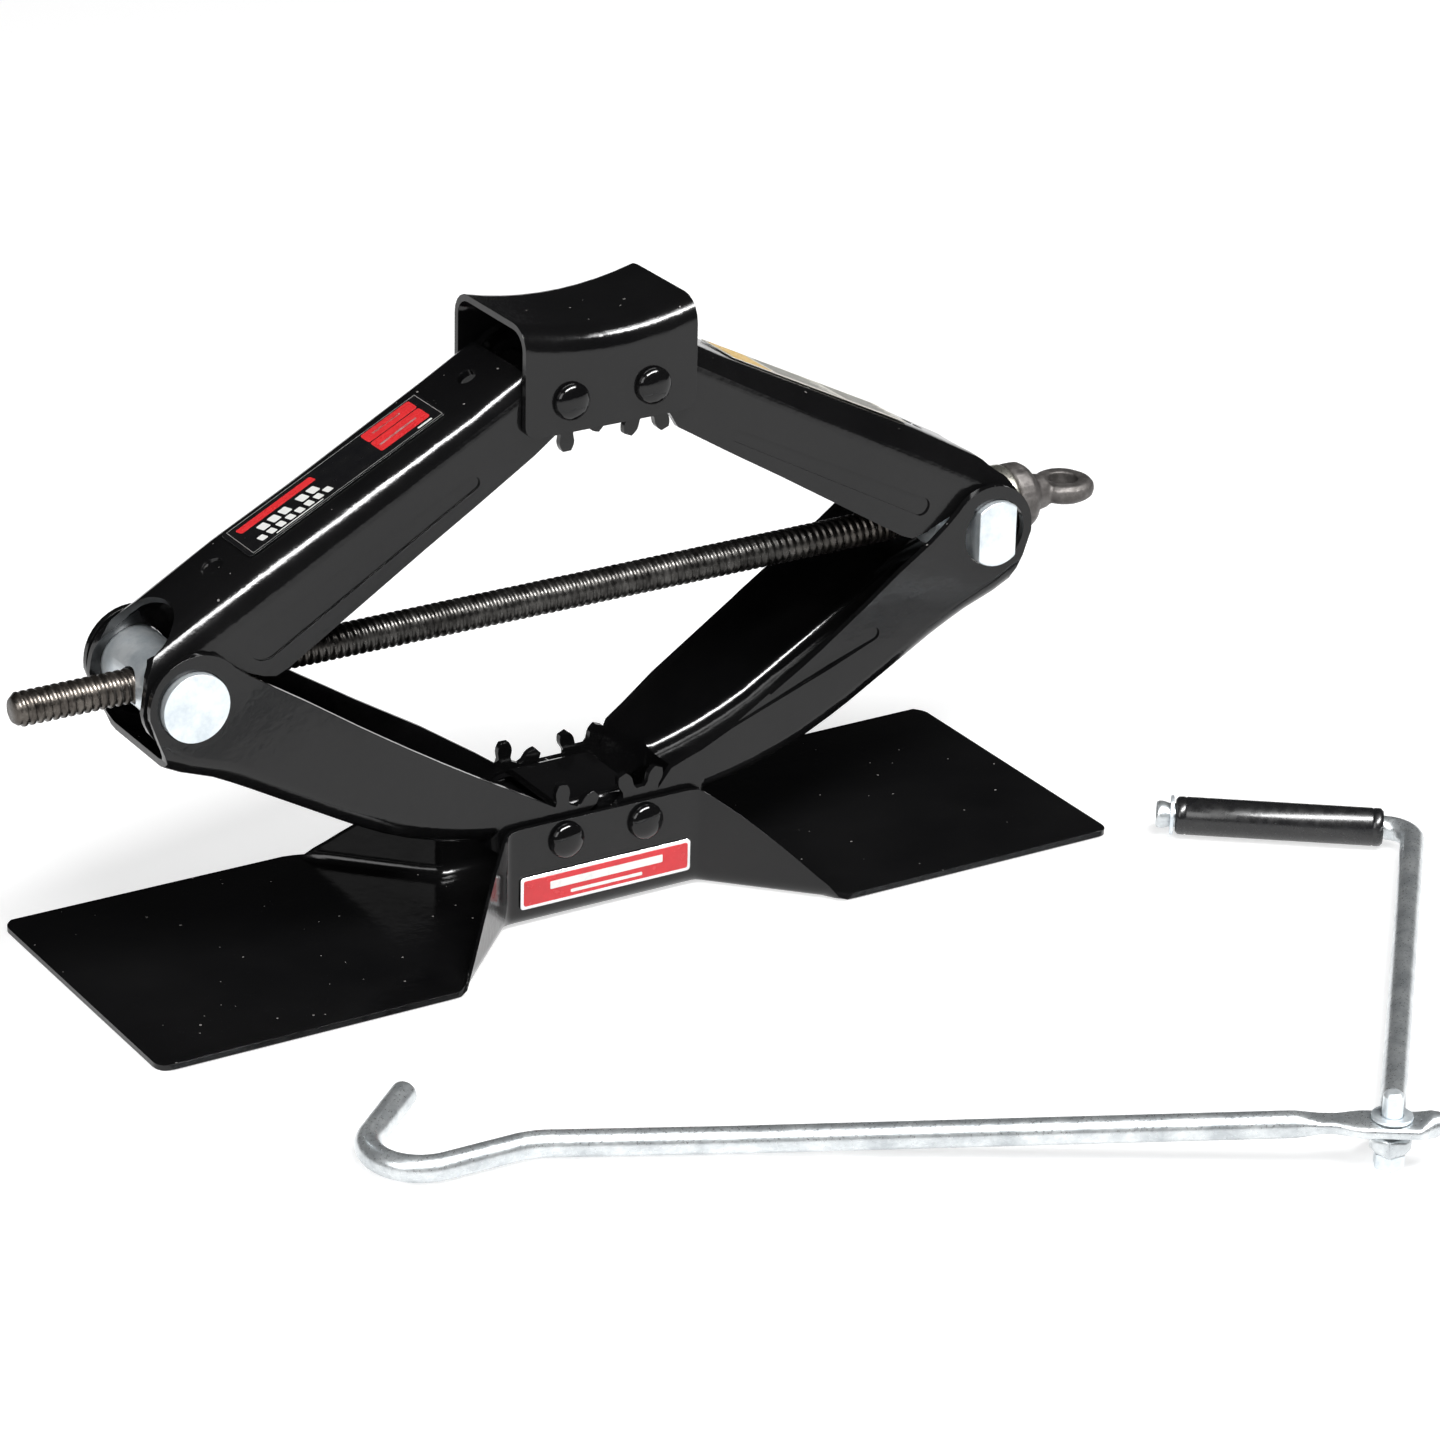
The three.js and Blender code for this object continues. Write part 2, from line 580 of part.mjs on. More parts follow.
function baseGroup() {
  const group = new THREE.Group();
  const bracket = piece('base_spacer', spacerBracket(), blackEnamel);
  bracket.position.z = BASE_PIVOT_Z;
  const badge = piece('front_badge', frontBadge(), badgeRed);
  badge.position.set(0, -OUTER_FACE - TOUCH_GAP, 13.6);
  group.add(piece('base_plate', basePlate(), blackEnamel), bracket, badge);
  for (const [side, x] of [['left', -PIVOT_HALF], ['right', PIVOT_HALF]]) {
    const pin = piece(`base_pivot_pin_${side}`, pivotPin(), blackEnamel);
    pin.position.set(x, 0, BASE_PIVOT_Z);
    group.add(pin);
  }
  return group;
}

// ---------------------------------------------------------------- saddle
function saddleShell() {
  const section = (x) => {
    const hollow = SADDLE_DISH * (1 - (x / SADDLE_HALF) ** 2);
    return channelSection(OUTER_MID, SADDLE_RISE - hollow - SHEET / 2, -20, 7.75);
  };
  const outline = new THREE.Shape();
  const corner = 5;
  outline.absarc(SADDLE_HALF - corner, -SADDLE_DROP + corner, corner, -Math.PI / 2, 0);
  outline.lineTo(SADDLE_HALF, SADDLE_RISE + 5);
  outline.lineTo(-SADDLE_HALF, SADDLE_RISE + 5);
  outline.absarc(-SADDLE_HALF + corner, -SADDLE_DROP + corner, corner, Math.PI, 1.5 * Math.PI);
  return sheetLoft(range(-SADDLE_HALF - 0.5, SADDLE_HALF + 0.5, 9), section)
    .intersect(sidePlate(outline, -30, 30, 5))
    .subtract(rodAlongY(PIN_HOLE, 40, -PIVOT_HALF, 0, 32))
    .subtract(rodAlongY(PIN_HOLE, 40, PIVOT_HALF, 0, 32));
}

function saddleGroup() {
  const group = new THREE.Group();
  group.position.z = SADDLE_PIVOT_Z;
  const bracket = piece('saddle_spacer', spacerBracket(), blackEnamel);
  bracket.rotation.x = Math.PI;
  group.add(piece('saddle', saddleShell(), blackEnamel), bracket);
  for (const [side, x] of [['left', -PIVOT_HALF], ['right', PIVOT_HALF]]) {
    const pin = piece(`saddle_pivot_pin_${side}`, pivotPin(), blackEnamel);
    pin.position.x = x;
    group.add(pin);
  }
  return group;
}

// ---------------------------------------------------------------- screw and trunnions
// These are drawn on the screw axis, with the scissor's middle at x = 0.
function trunnionBar() {
  return rodAlongY(TRUNNION_RADIUS, TRUNNION_HALF, 0, 0, 40).subtract(rodAlongX(SCREW_BORE, -20, 20, 32));
}

function thrustTrunnion() {
  const bar = trunnionBar();
  return bar.intersect(block(-THRUST_FLAT, THRUST_FLAT, -30, 30, -20, 20));
}

const BEARING_START = TRUNNION_X + THRUST_FLAT + TOUCH_GAP;
const RACE_END = BEARING_START + 2.6;
const CAGE_END = RACE_END + TOUCH_GAP + 2.6;
const CUP_END = CAGE_END + TOUCH_GAP + 7.4;
const COLLAR_START = CUP_END + TOUCH_GAP;
const EYE_X = 209.3;
const EYE_RADIUS = 11.8;
const EYE_HOLE = 5.6;
const EYE_HALF_THICKNESS = 3.5;

function turnedRing(inner, outer, xLow, xHigh, chamfer) {
  const profile = [
    [inner, xLow], [outer - chamfer, xLow], [outer, xLow + chamfer],
    [outer, xHigh - chamfer], [outer - chamfer, xHigh], [inner, xHigh], [inner, xLow],
  ];
  return turnedAlongX(profile);
}

function leadScrew() {
  const chamfer = 1.6;
  const spigotEnd = COLLAR_START + 8;
  const rod = toSolid(turnedAlongX([
    [0, SCREW_LEFT_X], [SCREW_RADIUS - chamfer, SCREW_LEFT_X], [SCREW_RADIUS, SCREW_LEFT_X + chamfer],
    [SCREW_RADIUS, COLLAR_START - TOUCH_GAP], [SPIGOT_RADIUS, COLLAR_START - TOUCH_GAP],
    [SPIGOT_RADIUS, spigotEnd], [0, spigotEnd],
  ], 28));
  return rod.subtract(rodAlongZ(STOP_PIN_HOLE, -20, 20, STOP_RING_X, 0, 16));
}

function driveEye() {
  const collar = toSolid(turnedAlongX([
    [0, COLLAR_START], [11.6, COLLAR_START], [12.6, COLLAR_START + 1], [12.6, COLLAR_START + 6.5],
    [11.4, COLLAR_START + 8.6], [8.6, COLLAR_START + 10], [7.2, COLLAR_START + 12],
    [6.2, EYE_X - EYE_RADIUS + 3], [0, EYE_X - EYE_RADIUS + 3],
  ], 28));
  const rimProfile = [
    [0, -EYE_HALF_THICKNESS], [EYE_RADIUS - 2.2, -EYE_HALF_THICKNESS],
    [EYE_RADIUS - 0.5, -EYE_HALF_THICKNESS + 1.5],
    [EYE_RADIUS, 0], [EYE_RADIUS - 0.5, EYE_HALF_THICKNESS - 1.5], [EYE_RADIUS - 2.2, EYE_HALF_THICKNESS],
    [0, EYE_HALF_THICKNESS],
  ].map(([radius, along]) => new THREE.Vector2(radius, along));
  const disc = new THREE.LatheGeometry(rimProfile, 28);
  disc.rotateX(Math.PI / 2);
  disc.translate(EYE_X, 0, 0);
  const socket = rodAlongX(SPIGOT_RADIUS + TOUCH_GAP, COLLAR_START - 1, COLLAR_START + 8 + TOUCH_GAP, 24);
  return collar.add(toSolid(disc))
    .subtract(socket)
    .subtract(rodAlongZ(EYE_HOLE, -20, 20, EYE_X, 0, 24));
}

const STOP_RING_X = TRUNNION_X - THRUST_FLAT - TOUCH_GAP - 3;
const STOP_PIN_RADIUS = 1.5;
const STOP_PIN_HOLE = 1.8;

function stopRing() {
  const ring = toSolid(turnedRing(SCREW_RADIUS + TOUCH_GAP, 10.2, STOP_RING_X - 3, STOP_RING_X + 3, 0.6));
  return ring.subtract(rodAlongZ(STOP_PIN_HOLE, -20, 20, STOP_RING_X, 0, 16));
}

function driveGroup() {
  const group = new THREE.Group();
  group.position.z = TRUNNION_Z;
  const nut = piece('trunnion_nut', trunnionBar(), zinc);
  nut.position.x = -TRUNNION_X;
  const thrust = piece('thrust_trunnion', thrustTrunnion(), zinc);
  thrust.position.x = TRUNNION_X;
  group.add(
    nut,
    thrust,
    piece('lead_screw', leadScrew(), darkSteel),
    piece('bearing_race', turnedRing(SCREW_BORE, 11.8, BEARING_START, RACE_END, 0.4), bearingZinc),
    piece('bearing_cage', turnedRing(SCREW_BORE, 10.8, RACE_END + TOUCH_GAP, CAGE_END, 0.4), zinc),
    piece('bearing_cup', turnedRing(SCREW_BORE, 13, CAGE_END + TOUCH_GAP, CUP_END, 0.8), bearingZinc),
    piece('drive_eye', driveEye(), forgedSteel),
    piece('stop_ring', stopRing(), zinc),
    piece('stop_pin', rodAlongZ(STOP_PIN_RADIUS, -9.8, 9.8, STOP_RING_X, 0, 14), darkSteel),
  );
  return group;
}

// ---------------------------------------------------------------- crank handle
// Drawn with the hinge bolt standing at the origin and the hook end of the rod towards +X.
const HINGE_HOLE = 3.8;
const HINGE_RADIUS = 3.5;
const HEAD_HEIGHT = 5.3;
const ARM_EYE_LOW = HEAD_HEIGHT + TOUCH_GAP;
const ARM_EYE_HIGH = 12;
const ROD_PLATE_LOW = ARM_EYE_HIGH + TOUCH_GAP;
const ROD_PLATE_HIGH = 17.2;
const ROD_HINGE_Z = (ROD_PLATE_LOW + ROD_PLATE_HIGH) / 2;
const HINGE_WASHER_LOW = ROD_PLATE_HIGH + TOUCH_GAP;
const HINGE_TOP = 27;
const GRIP_Z = 7.5;
const HINGE_EYE_RADIUS = 7;
const HINGE_WASHER_RADIUS = 6.9;
const HINGE_SWEEP = 19;          // reach of the flattened ends that pass over each other

function hookRod() {
  const at = (x, y, z) => new THREE.Vector3(x, y, z);
  const stations = bentLine([
    { at: at(18, -0.5, ROD_HINGE_Z + 1) },
    { at: at(213, 2.9, ROD_RADIUS), radius: 150 },
    { at: at(278.3, 9.2, ROD_RADIUS), radius: 26 },
    { at: at(343, 48.5, ROD_RADIUS), radius: 17 },
    { at: at(321.4, -24, ROD_RADIUS) },
  ], 8);
  const plate = new THREE.Shape();
  plate.moveTo(21, 4);
  plate.quadraticCurveTo(13, 7.6, 4, 7.6);
  plate.lineTo(-4, 7.6);
  plate.quadraticCurveTo(-9, 6.5, -11, 3.8);
  plate.lineTo(-11, -3.8);
  plate.quadraticCurveTo(-9, -6.5, -4, -7.6);
  plate.lineTo(4, -7.6);
  plate.quadraticCurveTo(13, -7.6, 21, -4);
  const stub = bentRod([at(-8, 0, ROD_HINGE_Z + 0.6), at(-17, 0, ROD_HINGE_Z + 2)], ROD_RADIUS - 0.4);
  return bentRod(stations, ROD_RADIUS)
    .add(floorPlate(plate, ROD_PLATE_LOW, ROD_PLATE_HIGH, 5))
    .add(stub)
    .subtract(rodAlongZ(HINGE_WASHER_RADIUS + TOUCH_GAP, ROD_PLATE_HIGH, 30, 0, 0))
    .subtract(rodAlongZ(HINGE_EYE_RADIUS + TOUCH_GAP, 0, ROD_PLATE_LOW, 0, 0))
    .subtract(block(-HINGE_SWEEP, -6, -10, 10, 0, ROD_PLATE_LOW))
    .subtract(rodAlongZ(HINGE_HOLE, -5, 40, 0, 0));
}

// The arm, the grip's spindle and the peened head on its end are one bent rod.
function crankArm() {
  const along = (distance) => new THREE.Vector3(distance, 0, 0);
  const spindle = new THREE.Vector3(Math.cos(GRIP_TURN), Math.sin(GRIP_TURN), 0);
  const corner = along(CRANK_ARM_LENGTH).setZ(GRIP_Z);
  const end = corner.clone().addScaledVector(spindle, GRIP_START + GRIP_LENGTH + 7.2);
  const stations = bentLine([
    { at: along(4).setZ(8.9) },
    { at: corner, radius: 10 },
    { at: end },
  ], 7);
  const headStart = corner.clone().addScaledVector(spindle, GRIP_START + GRIP_LENGTH + 2.6);
  const peenedHead = bentRod([headStart, end], ROD_RADIUS + 0.7);
  const eye = new THREE.LatheGeometry([
    new THREE.Vector2(0, ARM_EYE_LOW), new THREE.Vector2(5.4, ARM_EYE_LOW),
    new THREE.Vector2(HINGE_EYE_RADIUS, ARM_EYE_HIGH - 2.2),
    new THREE.Vector2(HINGE_EYE_RADIUS, ARM_EYE_HIGH),
    new THREE.Vector2(0, ARM_EYE_HIGH),
  ], 24);
  eye.rotateX(Math.PI / 2);
  return bentRod(stations, ARM_ROD_RADIUS)
    .subtract(block(-20, HINGE_SWEEP, -20, 20, ARM_EYE_HIGH, 30))
    .subtract(block(-20, 10.5, -20, 20, -10, ARM_EYE_LOW))
    .add(toSolid(eye))
    .add(peenedHead)
    .subtract(rodAlongZ(HINGE_HOLE, -5, 40, 0, 0));
}

function hingeBolt() {
  const profile = [
    [0, HEAD_HEIGHT - 1], [HINGE_RADIUS, HEAD_HEIGHT - 1], [HINGE_RADIUS, HINGE_TOP - 1.2],
    [HINGE_RADIUS - 1.2, HINGE_TOP], [0, HINGE_TOP],
  ].map(([radius, along]) => new THREE.Vector2(radius, along));
  const shank = new THREE.LatheGeometry(profile, 20);
  shank.rotateX(Math.PI / 2);
  const head = new THREE.CylinderGeometry(5.5, 5.5, HEAD_HEIGHT, 6);
  head.rotateX(Math.PI / 2);
  head.translate(0, 0, HEAD_HEIGHT / 2);
  return toSolid(shank).add(toSolid(head));
}

function crankGroup() {
  const group = new THREE.Group();
  group.position.set(CRANK_X, CRANK_Y, 0);
  group.rotation.z = CRANK_HEADING;
  const washer = rodAlongZ(HINGE_WASHER_RADIUS, HINGE_WASHER_LOW, HINGE_WASHER_LOW + 1.2, 0, 0, 28)
    .subtract(rodAlongZ(HINGE_HOLE, 0, 40, 0, 0));
  const swing = new THREE.Group();
  swing.rotation.z = CRANK_ARM_ANGLE;
  const gripFrame = new THREE.Group();
  gripFrame.position.set(CRANK_ARM_LENGTH, 0, GRIP_Z);
  gripFrame.rotation.z = GRIP_TURN;
  const gripEnd = GRIP_START + GRIP_LENGTH;
  const bore = ARM_ROD_RADIUS + TOUCH_GAP;
  gripFrame.add(
    piece('crank_grip', turnedRing(bore, GRIP_RADIUS, GRIP_START, gripEnd, 0.7), blackPlastic),
    piece('grip_washer', turnedRing(bore, 7.3, gripEnd + 0.6, gripEnd + 2, 0.2), zinc),
  );
  swing.add(piece('crank_arm', crankArm(), zinc), gripFrame);
  group.add(
    piece('hook_rod', hookRod(), zinc),
    piece('hinge_bolt', hingeBolt(), zinc),
    piece('hinge_washer', washer, zinc),
    swing,
  );
  return group;
}

// ---------------------------------------------------------------- whole jack
const jack = new THREE.Group();
jack.add(baseGroup(), arms(), saddleGroup(), driveGroup(), crankGroup());

export default jack;
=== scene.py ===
"""Looks of the scissor stabilizer jack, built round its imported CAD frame. Metres, +Z up."""

import json
import math

import bmesh
import bpy
from mathutils import Matrix, Vector, noise


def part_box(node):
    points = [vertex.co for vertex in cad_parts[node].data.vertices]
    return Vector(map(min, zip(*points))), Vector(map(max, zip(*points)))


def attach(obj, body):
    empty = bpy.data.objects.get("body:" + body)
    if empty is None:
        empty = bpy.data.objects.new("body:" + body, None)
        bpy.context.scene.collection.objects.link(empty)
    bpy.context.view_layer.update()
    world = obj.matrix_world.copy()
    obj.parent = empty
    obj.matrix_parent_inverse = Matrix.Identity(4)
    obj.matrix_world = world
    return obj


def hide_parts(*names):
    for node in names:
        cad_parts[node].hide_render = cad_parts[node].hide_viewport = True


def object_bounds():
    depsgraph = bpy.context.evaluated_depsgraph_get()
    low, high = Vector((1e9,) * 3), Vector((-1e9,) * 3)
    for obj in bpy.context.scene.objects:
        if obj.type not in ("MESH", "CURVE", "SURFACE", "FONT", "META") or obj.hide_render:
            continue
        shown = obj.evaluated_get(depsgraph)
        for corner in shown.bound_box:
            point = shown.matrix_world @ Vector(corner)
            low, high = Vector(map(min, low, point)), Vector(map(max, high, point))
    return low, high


MM = 0.001
UP = Vector((0, 0, 1))
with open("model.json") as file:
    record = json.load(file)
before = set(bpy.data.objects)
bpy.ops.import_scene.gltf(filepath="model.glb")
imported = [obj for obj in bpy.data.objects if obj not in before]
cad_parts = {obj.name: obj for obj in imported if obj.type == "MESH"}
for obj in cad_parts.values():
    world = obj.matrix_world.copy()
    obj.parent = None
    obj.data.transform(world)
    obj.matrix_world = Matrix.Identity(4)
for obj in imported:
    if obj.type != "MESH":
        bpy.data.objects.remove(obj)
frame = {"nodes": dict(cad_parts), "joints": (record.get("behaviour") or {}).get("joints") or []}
CAD_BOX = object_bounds()
NODES = frame["nodes"]
JOINTS = {joint["name"]: joint for joint in frame["joints"]}


def joint_point(name):
    return Vector(JOINTS[name]["pos_m"])


# ---------------------------------------------------------------- places taken from the frame
TRUNNION_LEFT = joint_point("upper_left_swing")
TRUNNION_RIGHT = joint_point("upper_right_swing")
SADDLE_PIVOT_LEFT = joint_point("saddle_level")
BASE_PIVOT_LEFT = joint_point("lift")
CRANK_PIVOT = joint_point("crank_fold")
SCREW_Z = TRUNNION_LEFT.z

# Pressed sheet, in the arms' own axes: along from the pivot, to the back, and towards the web.
UPPER_WALL = 22 * MM            # outside of the upper arms' walls, half across
WALL_SPLAY = 3 * MM             # the lower arms' walls stand this much wider once splayed
SPLAY_START = 28 * MM
SPLAY_LENGTH = 60 * MM
RECESS_DEPTH = 0.75 * MM
RECESS_DRAFT = 0.3 * MM
CUTTER_REACH = 30 * MM
DIMPLE_PLACE = (131 * MM, 0, 20.8 * MM)
WEB_START = 30 * MM             # the upper webs start to climb here
WEB_HEIGHT = 18 * MM
WEB_RISE = math.atan(4.2 / 93)
FILM_TOP = 0.6 * MM             # above the web
INK = 0.05 * MM

# Rivets and screw.
RIVET_DOME = 3.4 * MM
RIVET_HEAD = 6.8 * MM
RIVET_SEAT = 4.0 * MM
PIN_RADIUS = 5.5 * MM
THREAD_CREST = 6.1 * MM
THREAD_DEPTH = 0.85 * MM
THREAD_PITCH = 2.9 * MM
THREAD_CHAMFER = 2.2 * MM
SHANK_RADIUS = 5.9 * MM
SPIGOT_RADIUS = 4.2 * MM
RING_BORE = 6.5 * MM

# Crank: the hook rod's heading, the swinging arm from it, and the grip from the arm, in degrees.
CRANK_HEADING = 147.8
ARM_TURN = -97.9
GRIP_TURN = 93.1
HOOK_ROD = 4.6 * MM             # radii and half sizes of the two bars
HOOK_PLATE = (7.4 * MM, 2.45 * MM)
ARM_ROD = 4.4 * MM
ARM_PLATE = (7.0 * MM, 3.15 * MM)
ARM_REACH = 245                 # millimetres, as the corners of the bent paths are
SPINDLE_REACH = 93.7
GRIP_HEIGHT = 7.5
GRIP_RADIUS = 7.05 * MM
GRIP_BORE = 4.65 * MM
GRIP_ENDS = (11 * MM, 86.5 * MM)

# Camera: the photograph's angle.
CAMERA_TARGET = Vector((0, 0, 0.1))
CAMERA_AZIMUTH = math.radians(-30.44)
CAMERA_ELEVATION = math.radians(23.02)
CAMERA_ROLL = math.radians(0.67)
CAMERA_DISTANCE = 1.8995
CAMERA_LENS = 134.7
CAMERA_SHIFT = (0.1025, -0.0656)


# ---------------------------------------------------------------- materials
def new_material(name):
    """A material with its Principled shader, and the object's own coordinates."""
    material = bpy.data.materials.new(name)
    material.use_nodes = True
    tree = material.node_tree
    shader = tree.nodes["Principled BSDF"]
    place = tree.nodes.new("ShaderNodeTexCoord").outputs["Object"]
    return material, tree, shader, place


def noise_value(tree, place, scale, detail=3.0, roughness=0.55):
    node = tree.nodes.new("ShaderNodeTexNoise")
    node.inputs["Scale"].default_value = scale
    node.inputs["Detail"].default_value = detail
    node.inputs["Roughness"].default_value = roughness
    tree.links.new(place, node.inputs["Vector"])
    return node.outputs["Fac"]


def remap(tree, value, low, high, out_low=0.0, out_high=1.0):
    node = tree.nodes.new("ShaderNodeMapRange")
    node.inputs["From Min"].default_value = low
    node.inputs["From Max"].default_value = high
    node.inputs["To Min"].default_value = out_low
    node.inputs["To Max"].default_value = out_high
    tree.links.new(value, node.inputs["Value"])
    return node.outputs["Result"]


def combine(tree, operation, first, second):
    node = tree.nodes.new("ShaderNodeMath")
    node.operation = operation
    for slot, value in enumerate((first, second)):
        if isinstance(value, (int, float)):
            node.inputs[slot].default_value = value
        else:
            tree.links.new(value, node.inputs[slot])
    return node.outputs[0]


def blend_colours(tree, factor, first, second):
    node = tree.nodes.new("ShaderNodeMix")
    node.data_type = "RGBA"
    tree.links.new(factor, node.inputs["Factor"])
    for socket, colour in ((node.inputs["A"], first), (node.inputs["B"], second)):
        if isinstance(colour, tuple):
            socket.default_value = (*colour, 1.0)
        else:
            tree.links.new(colour, socket)
    return node.outputs["Result"]


def add_bump(tree, shader, height, strength, distance):
    node = tree.nodes.new("ShaderNodeBump")
    node.inputs["Strength"].default_value = strength
    node.inputs["Distance"].default_value = distance
    tree.links.new(height, node.inputs["Height"])
    tree.links.new(node.outputs["Normal"], shader.inputs["Normal"])


def specks(tree, place, per_metre, radius, share):
    """Small round grains, radius in cells, on the given share of the cells."""
    node = tree.nodes.new("ShaderNodeTexVoronoi")
    node.inputs["Scale"].default_value = per_metre
    tree.links.new(place, node.inputs["Vector"])
    split = tree.nodes.new("ShaderNodeSeparateColor")
    tree.links.new(node.outputs["Color"], split.inputs["Color"])
    size = combine(tree, "MULTIPLY", split.outputs["Green"], radius)
    grain = combine(tree, "LESS_THAN", node.outputs["Distance"], size)
    chosen = combine(tree, "LESS_THAN", split.outputs["Red"], share)
    return combine(tree, "MULTIPLY", grain, chosen)


def facing_up(tree):
    geometry = tree.nodes.new("ShaderNodeNewGeometry")
    split = tree.nodes.new("ShaderNodeSeparateXYZ")
    tree.links.new(geometry.outputs["Normal"], split.inputs["Vector"])
    return remap(tree, split.outputs["Z"], 0.55, 0.85)


def black_enamel(name="black_enamel", gloss=0.10, dust=1.0):
    """Dipped black enamel: deep gloss, faint orange peel, settled dust on what faces up."""
    material, tree, shader, place = new_material(name)
    cloud = noise_value(tree, place, 14.0, 4.0)
    grains = combine(tree, "MULTIPLY", specks(tree, place, 250.0, 0.12, 0.34 * dust), facing_up(tree))
    patches = remap(tree, cloud, 0.35, 0.7)
    depth = blend_colours(tree, patches, (0.0035, 0.0035, 0.0038), (0.0065, 0.0064, 0.0066))
    tree.links.new(blend_colours(tree, grains, depth, (0.26, 0.25, 0.24)), shader.inputs["Base Color"])
    film = remap(tree, noise_value(tree, place, 55.0, 5.0, 0.7), 0.3, 0.75, gloss, gloss + 0.10)
    dulled = combine(tree, "ADD", film, combine(tree, "MULTIPLY", grains, 0.4))
    tree.links.new(dulled, shader.inputs["Roughness"])
    shader.inputs["IOR"].default_value = 1.38
    peel = noise_value(tree, place, 330.0, 2.0)
    runs = noise_value(tree, place, 60.0, 2.0)
    waves = combine(tree, "MULTIPLY", noise_value(tree, place, 22.0, 2.0), 5.0)
    film_height = combine(tree, "ADD", peel, combine(tree, "MULTIPLY", runs, 2.0))
    add_bump(tree, shader, combine(tree, "ADD", film_height, waves), 0.14, 0.0005)
    return material


def plated(name, bright, dull, roughness, grain=260.0, bump=0.12, metallic=1.0):
    """Zinc plating or bare steel: crystalline mottling, streaks and small scuffs."""
    material, tree, shader, place = new_material(name)
    patches = remap(tree, noise_value(tree, place, 95.0, 6.0, 0.65), 0.36, 0.66)
    tree.links.new(blend_colours(tree, patches, dull, bright), shader.inputs["Base Color"])
    fine = noise_value(tree, place, grain * 5.0, 3.0, 0.7)
    spread = remap(tree, fine, 0.25, 0.75, roughness - 0.07, roughness + 0.10)
    tree.links.new(spread, shader.inputs["Roughness"])
    shader.inputs["Metallic"].default_value = metallic
    add_bump(tree, shader, noise_value(tree, place, grain, 5.0, 0.7), bump, 0.0003)
    return material


def greased(name="screw_steel", end=0.118):
    """Screw steel: black grease where the nut runs, bare and brownish towards the ends."""
    material, tree, shader, place = new_material(name)
    split = tree.nodes.new("ShaderNodeSeparateXYZ")
    tree.links.new(place, split.inputs["Vector"])
    from_middle = combine(tree, "ABSOLUTE", split.outputs["X"], 0.0)
    blotches = combine(tree, "MULTIPLY", noise_value(tree, place, 70.0, 5.0, 0.7), 0.06)
    bare = remap(tree, combine(tree, "ADD", from_middle, blotches), end, end + 0.045)
    patches = remap(tree, noise_value(tree, place, 130.0, 6.0, 0.7), 0.36, 0.66)
    dry = blend_colours(tree, patches, (0.036, 0.031, 0.027), (0.13, 0.117, 0.104))
    wet = blend_colours(tree, patches, (0.016, 0.015, 0.014), (0.085, 0.082, 0.078))
    tree.links.new(blend_colours(tree, bare, wet, dry), shader.inputs["Base Color"])
    spread = remap(tree, noise_value(tree, place, 420.0, 4.0), 0.3, 0.7, 0.22, 0.42)
    tree.links.new(spread, shader.inputs["Roughness"])
    shader.inputs["Metallic"].default_value = 0.9
    add_bump(tree, shader, noise_value(tree, place, 500.0, 5.0, 0.7), 0.3, 0.0003)
    return material


def forged(name="forged_steel"):
    """Forging scale: dull grey-brown with pits."""
    material, tree, shader, place = new_material(name)
    patches = remap(tree, noise_value(tree, place, 130.0, 6.0, 0.7), 0.35, 0.68)
    scale = blend_colours(tree, patches, (0.055, 0.05, 0.047), (0.15, 0.14, 0.135))
    tree.links.new(scale, shader.inputs["Base Color"])
    spread = remap(tree, noise_value(tree, place, 400.0, 4.0), 0.3, 0.7, 0.42, 0.62)
    tree.links.new(spread, shader.inputs["Roughness"])
    shader.inputs["Metallic"].default_value = 0.65
    pits = noise_value(tree, place, 520.0, 6.0, 0.75)
    add_bump(tree, shader, pits, 0.35, 0.0006)
    return material


def printed(name, colour, worn, roughness):
    """Printed film or fired paint, with slight unevenness."""
    material, tree, shader, place = new_material(name)
    patches = remap(tree, noise_value(tree, place, 180.0, 4.0), 0.4, 0.8)
    tree.links.new(blend_colours(tree, patches, colour, worn), shader.inputs["Base Color"])
    spread = remap(tree, noise_value(tree, place, 300.0, 3.0), 0.3, 0.7, roughness - 0.05, roughness + 0.08)
    tree.links.new(spread, shader.inputs["Roughness"])
    add_bump(tree, shader, noise_value(tree, place, 600.0, 2.0), 0.06, 0.0002)
    return material


ENAMEL = black_enamel()
RIVET_BLACK = black_enamel("rivet_black", gloss=0.06, dust=0.2)
ZINC = plated("bright_zinc", (0.86, 0.90, 0.92), (0.60, 0.66, 0.70), 0.42, metallic=0.8)
ZINC_ROD = plated("zinc_rod", (0.74, 0.77, 0.78), (0.46, 0.49, 0.51), 0.30, 180.0, 0.2, metallic=0.8)
BEARING = plated("bearing_steel", (0.80, 0.78, 0.70), (0.58, 0.56, 0.49), 0.30)
SCREW_STEEL = greased()
FORGED = forged()
GRIP_BLACK = printed("grip_black", (0.010, 0.010, 0.011), (0.016, 0.016, 0.016), 0.26)
BADGE_RED = printed("badge_red", (0.62, 0.022, 0.03), (0.52, 0.018, 0.024), 0.22)
BADGE_RIM = plated("badge_rim", (0.82, 0.83, 0.84), (0.66, 0.67, 0.68), 0.22)
FILM_BLACK = printed("label_dark", (0.006, 0.006, 0.007), (0.010, 0.010, 0.010), 0.20)
FILM_PALE = printed("label_pale", (0.68, 0.66, 0.58), (0.56, 0.54, 0.47), 0.34)
INK_WHITE = printed("ink_white", (0.80, 0.80, 0.78), (0.70, 0.70, 0.68), 0.30)
INK_RED = printed("ink_red", (0.72, 0.032, 0.036), (0.60, 0.026, 0.03), 0.26)
INK_YELLOW = printed("ink_yellow", (0.80, 0.48, 0.02), (0.70, 0.42, 0.02), 0.30)
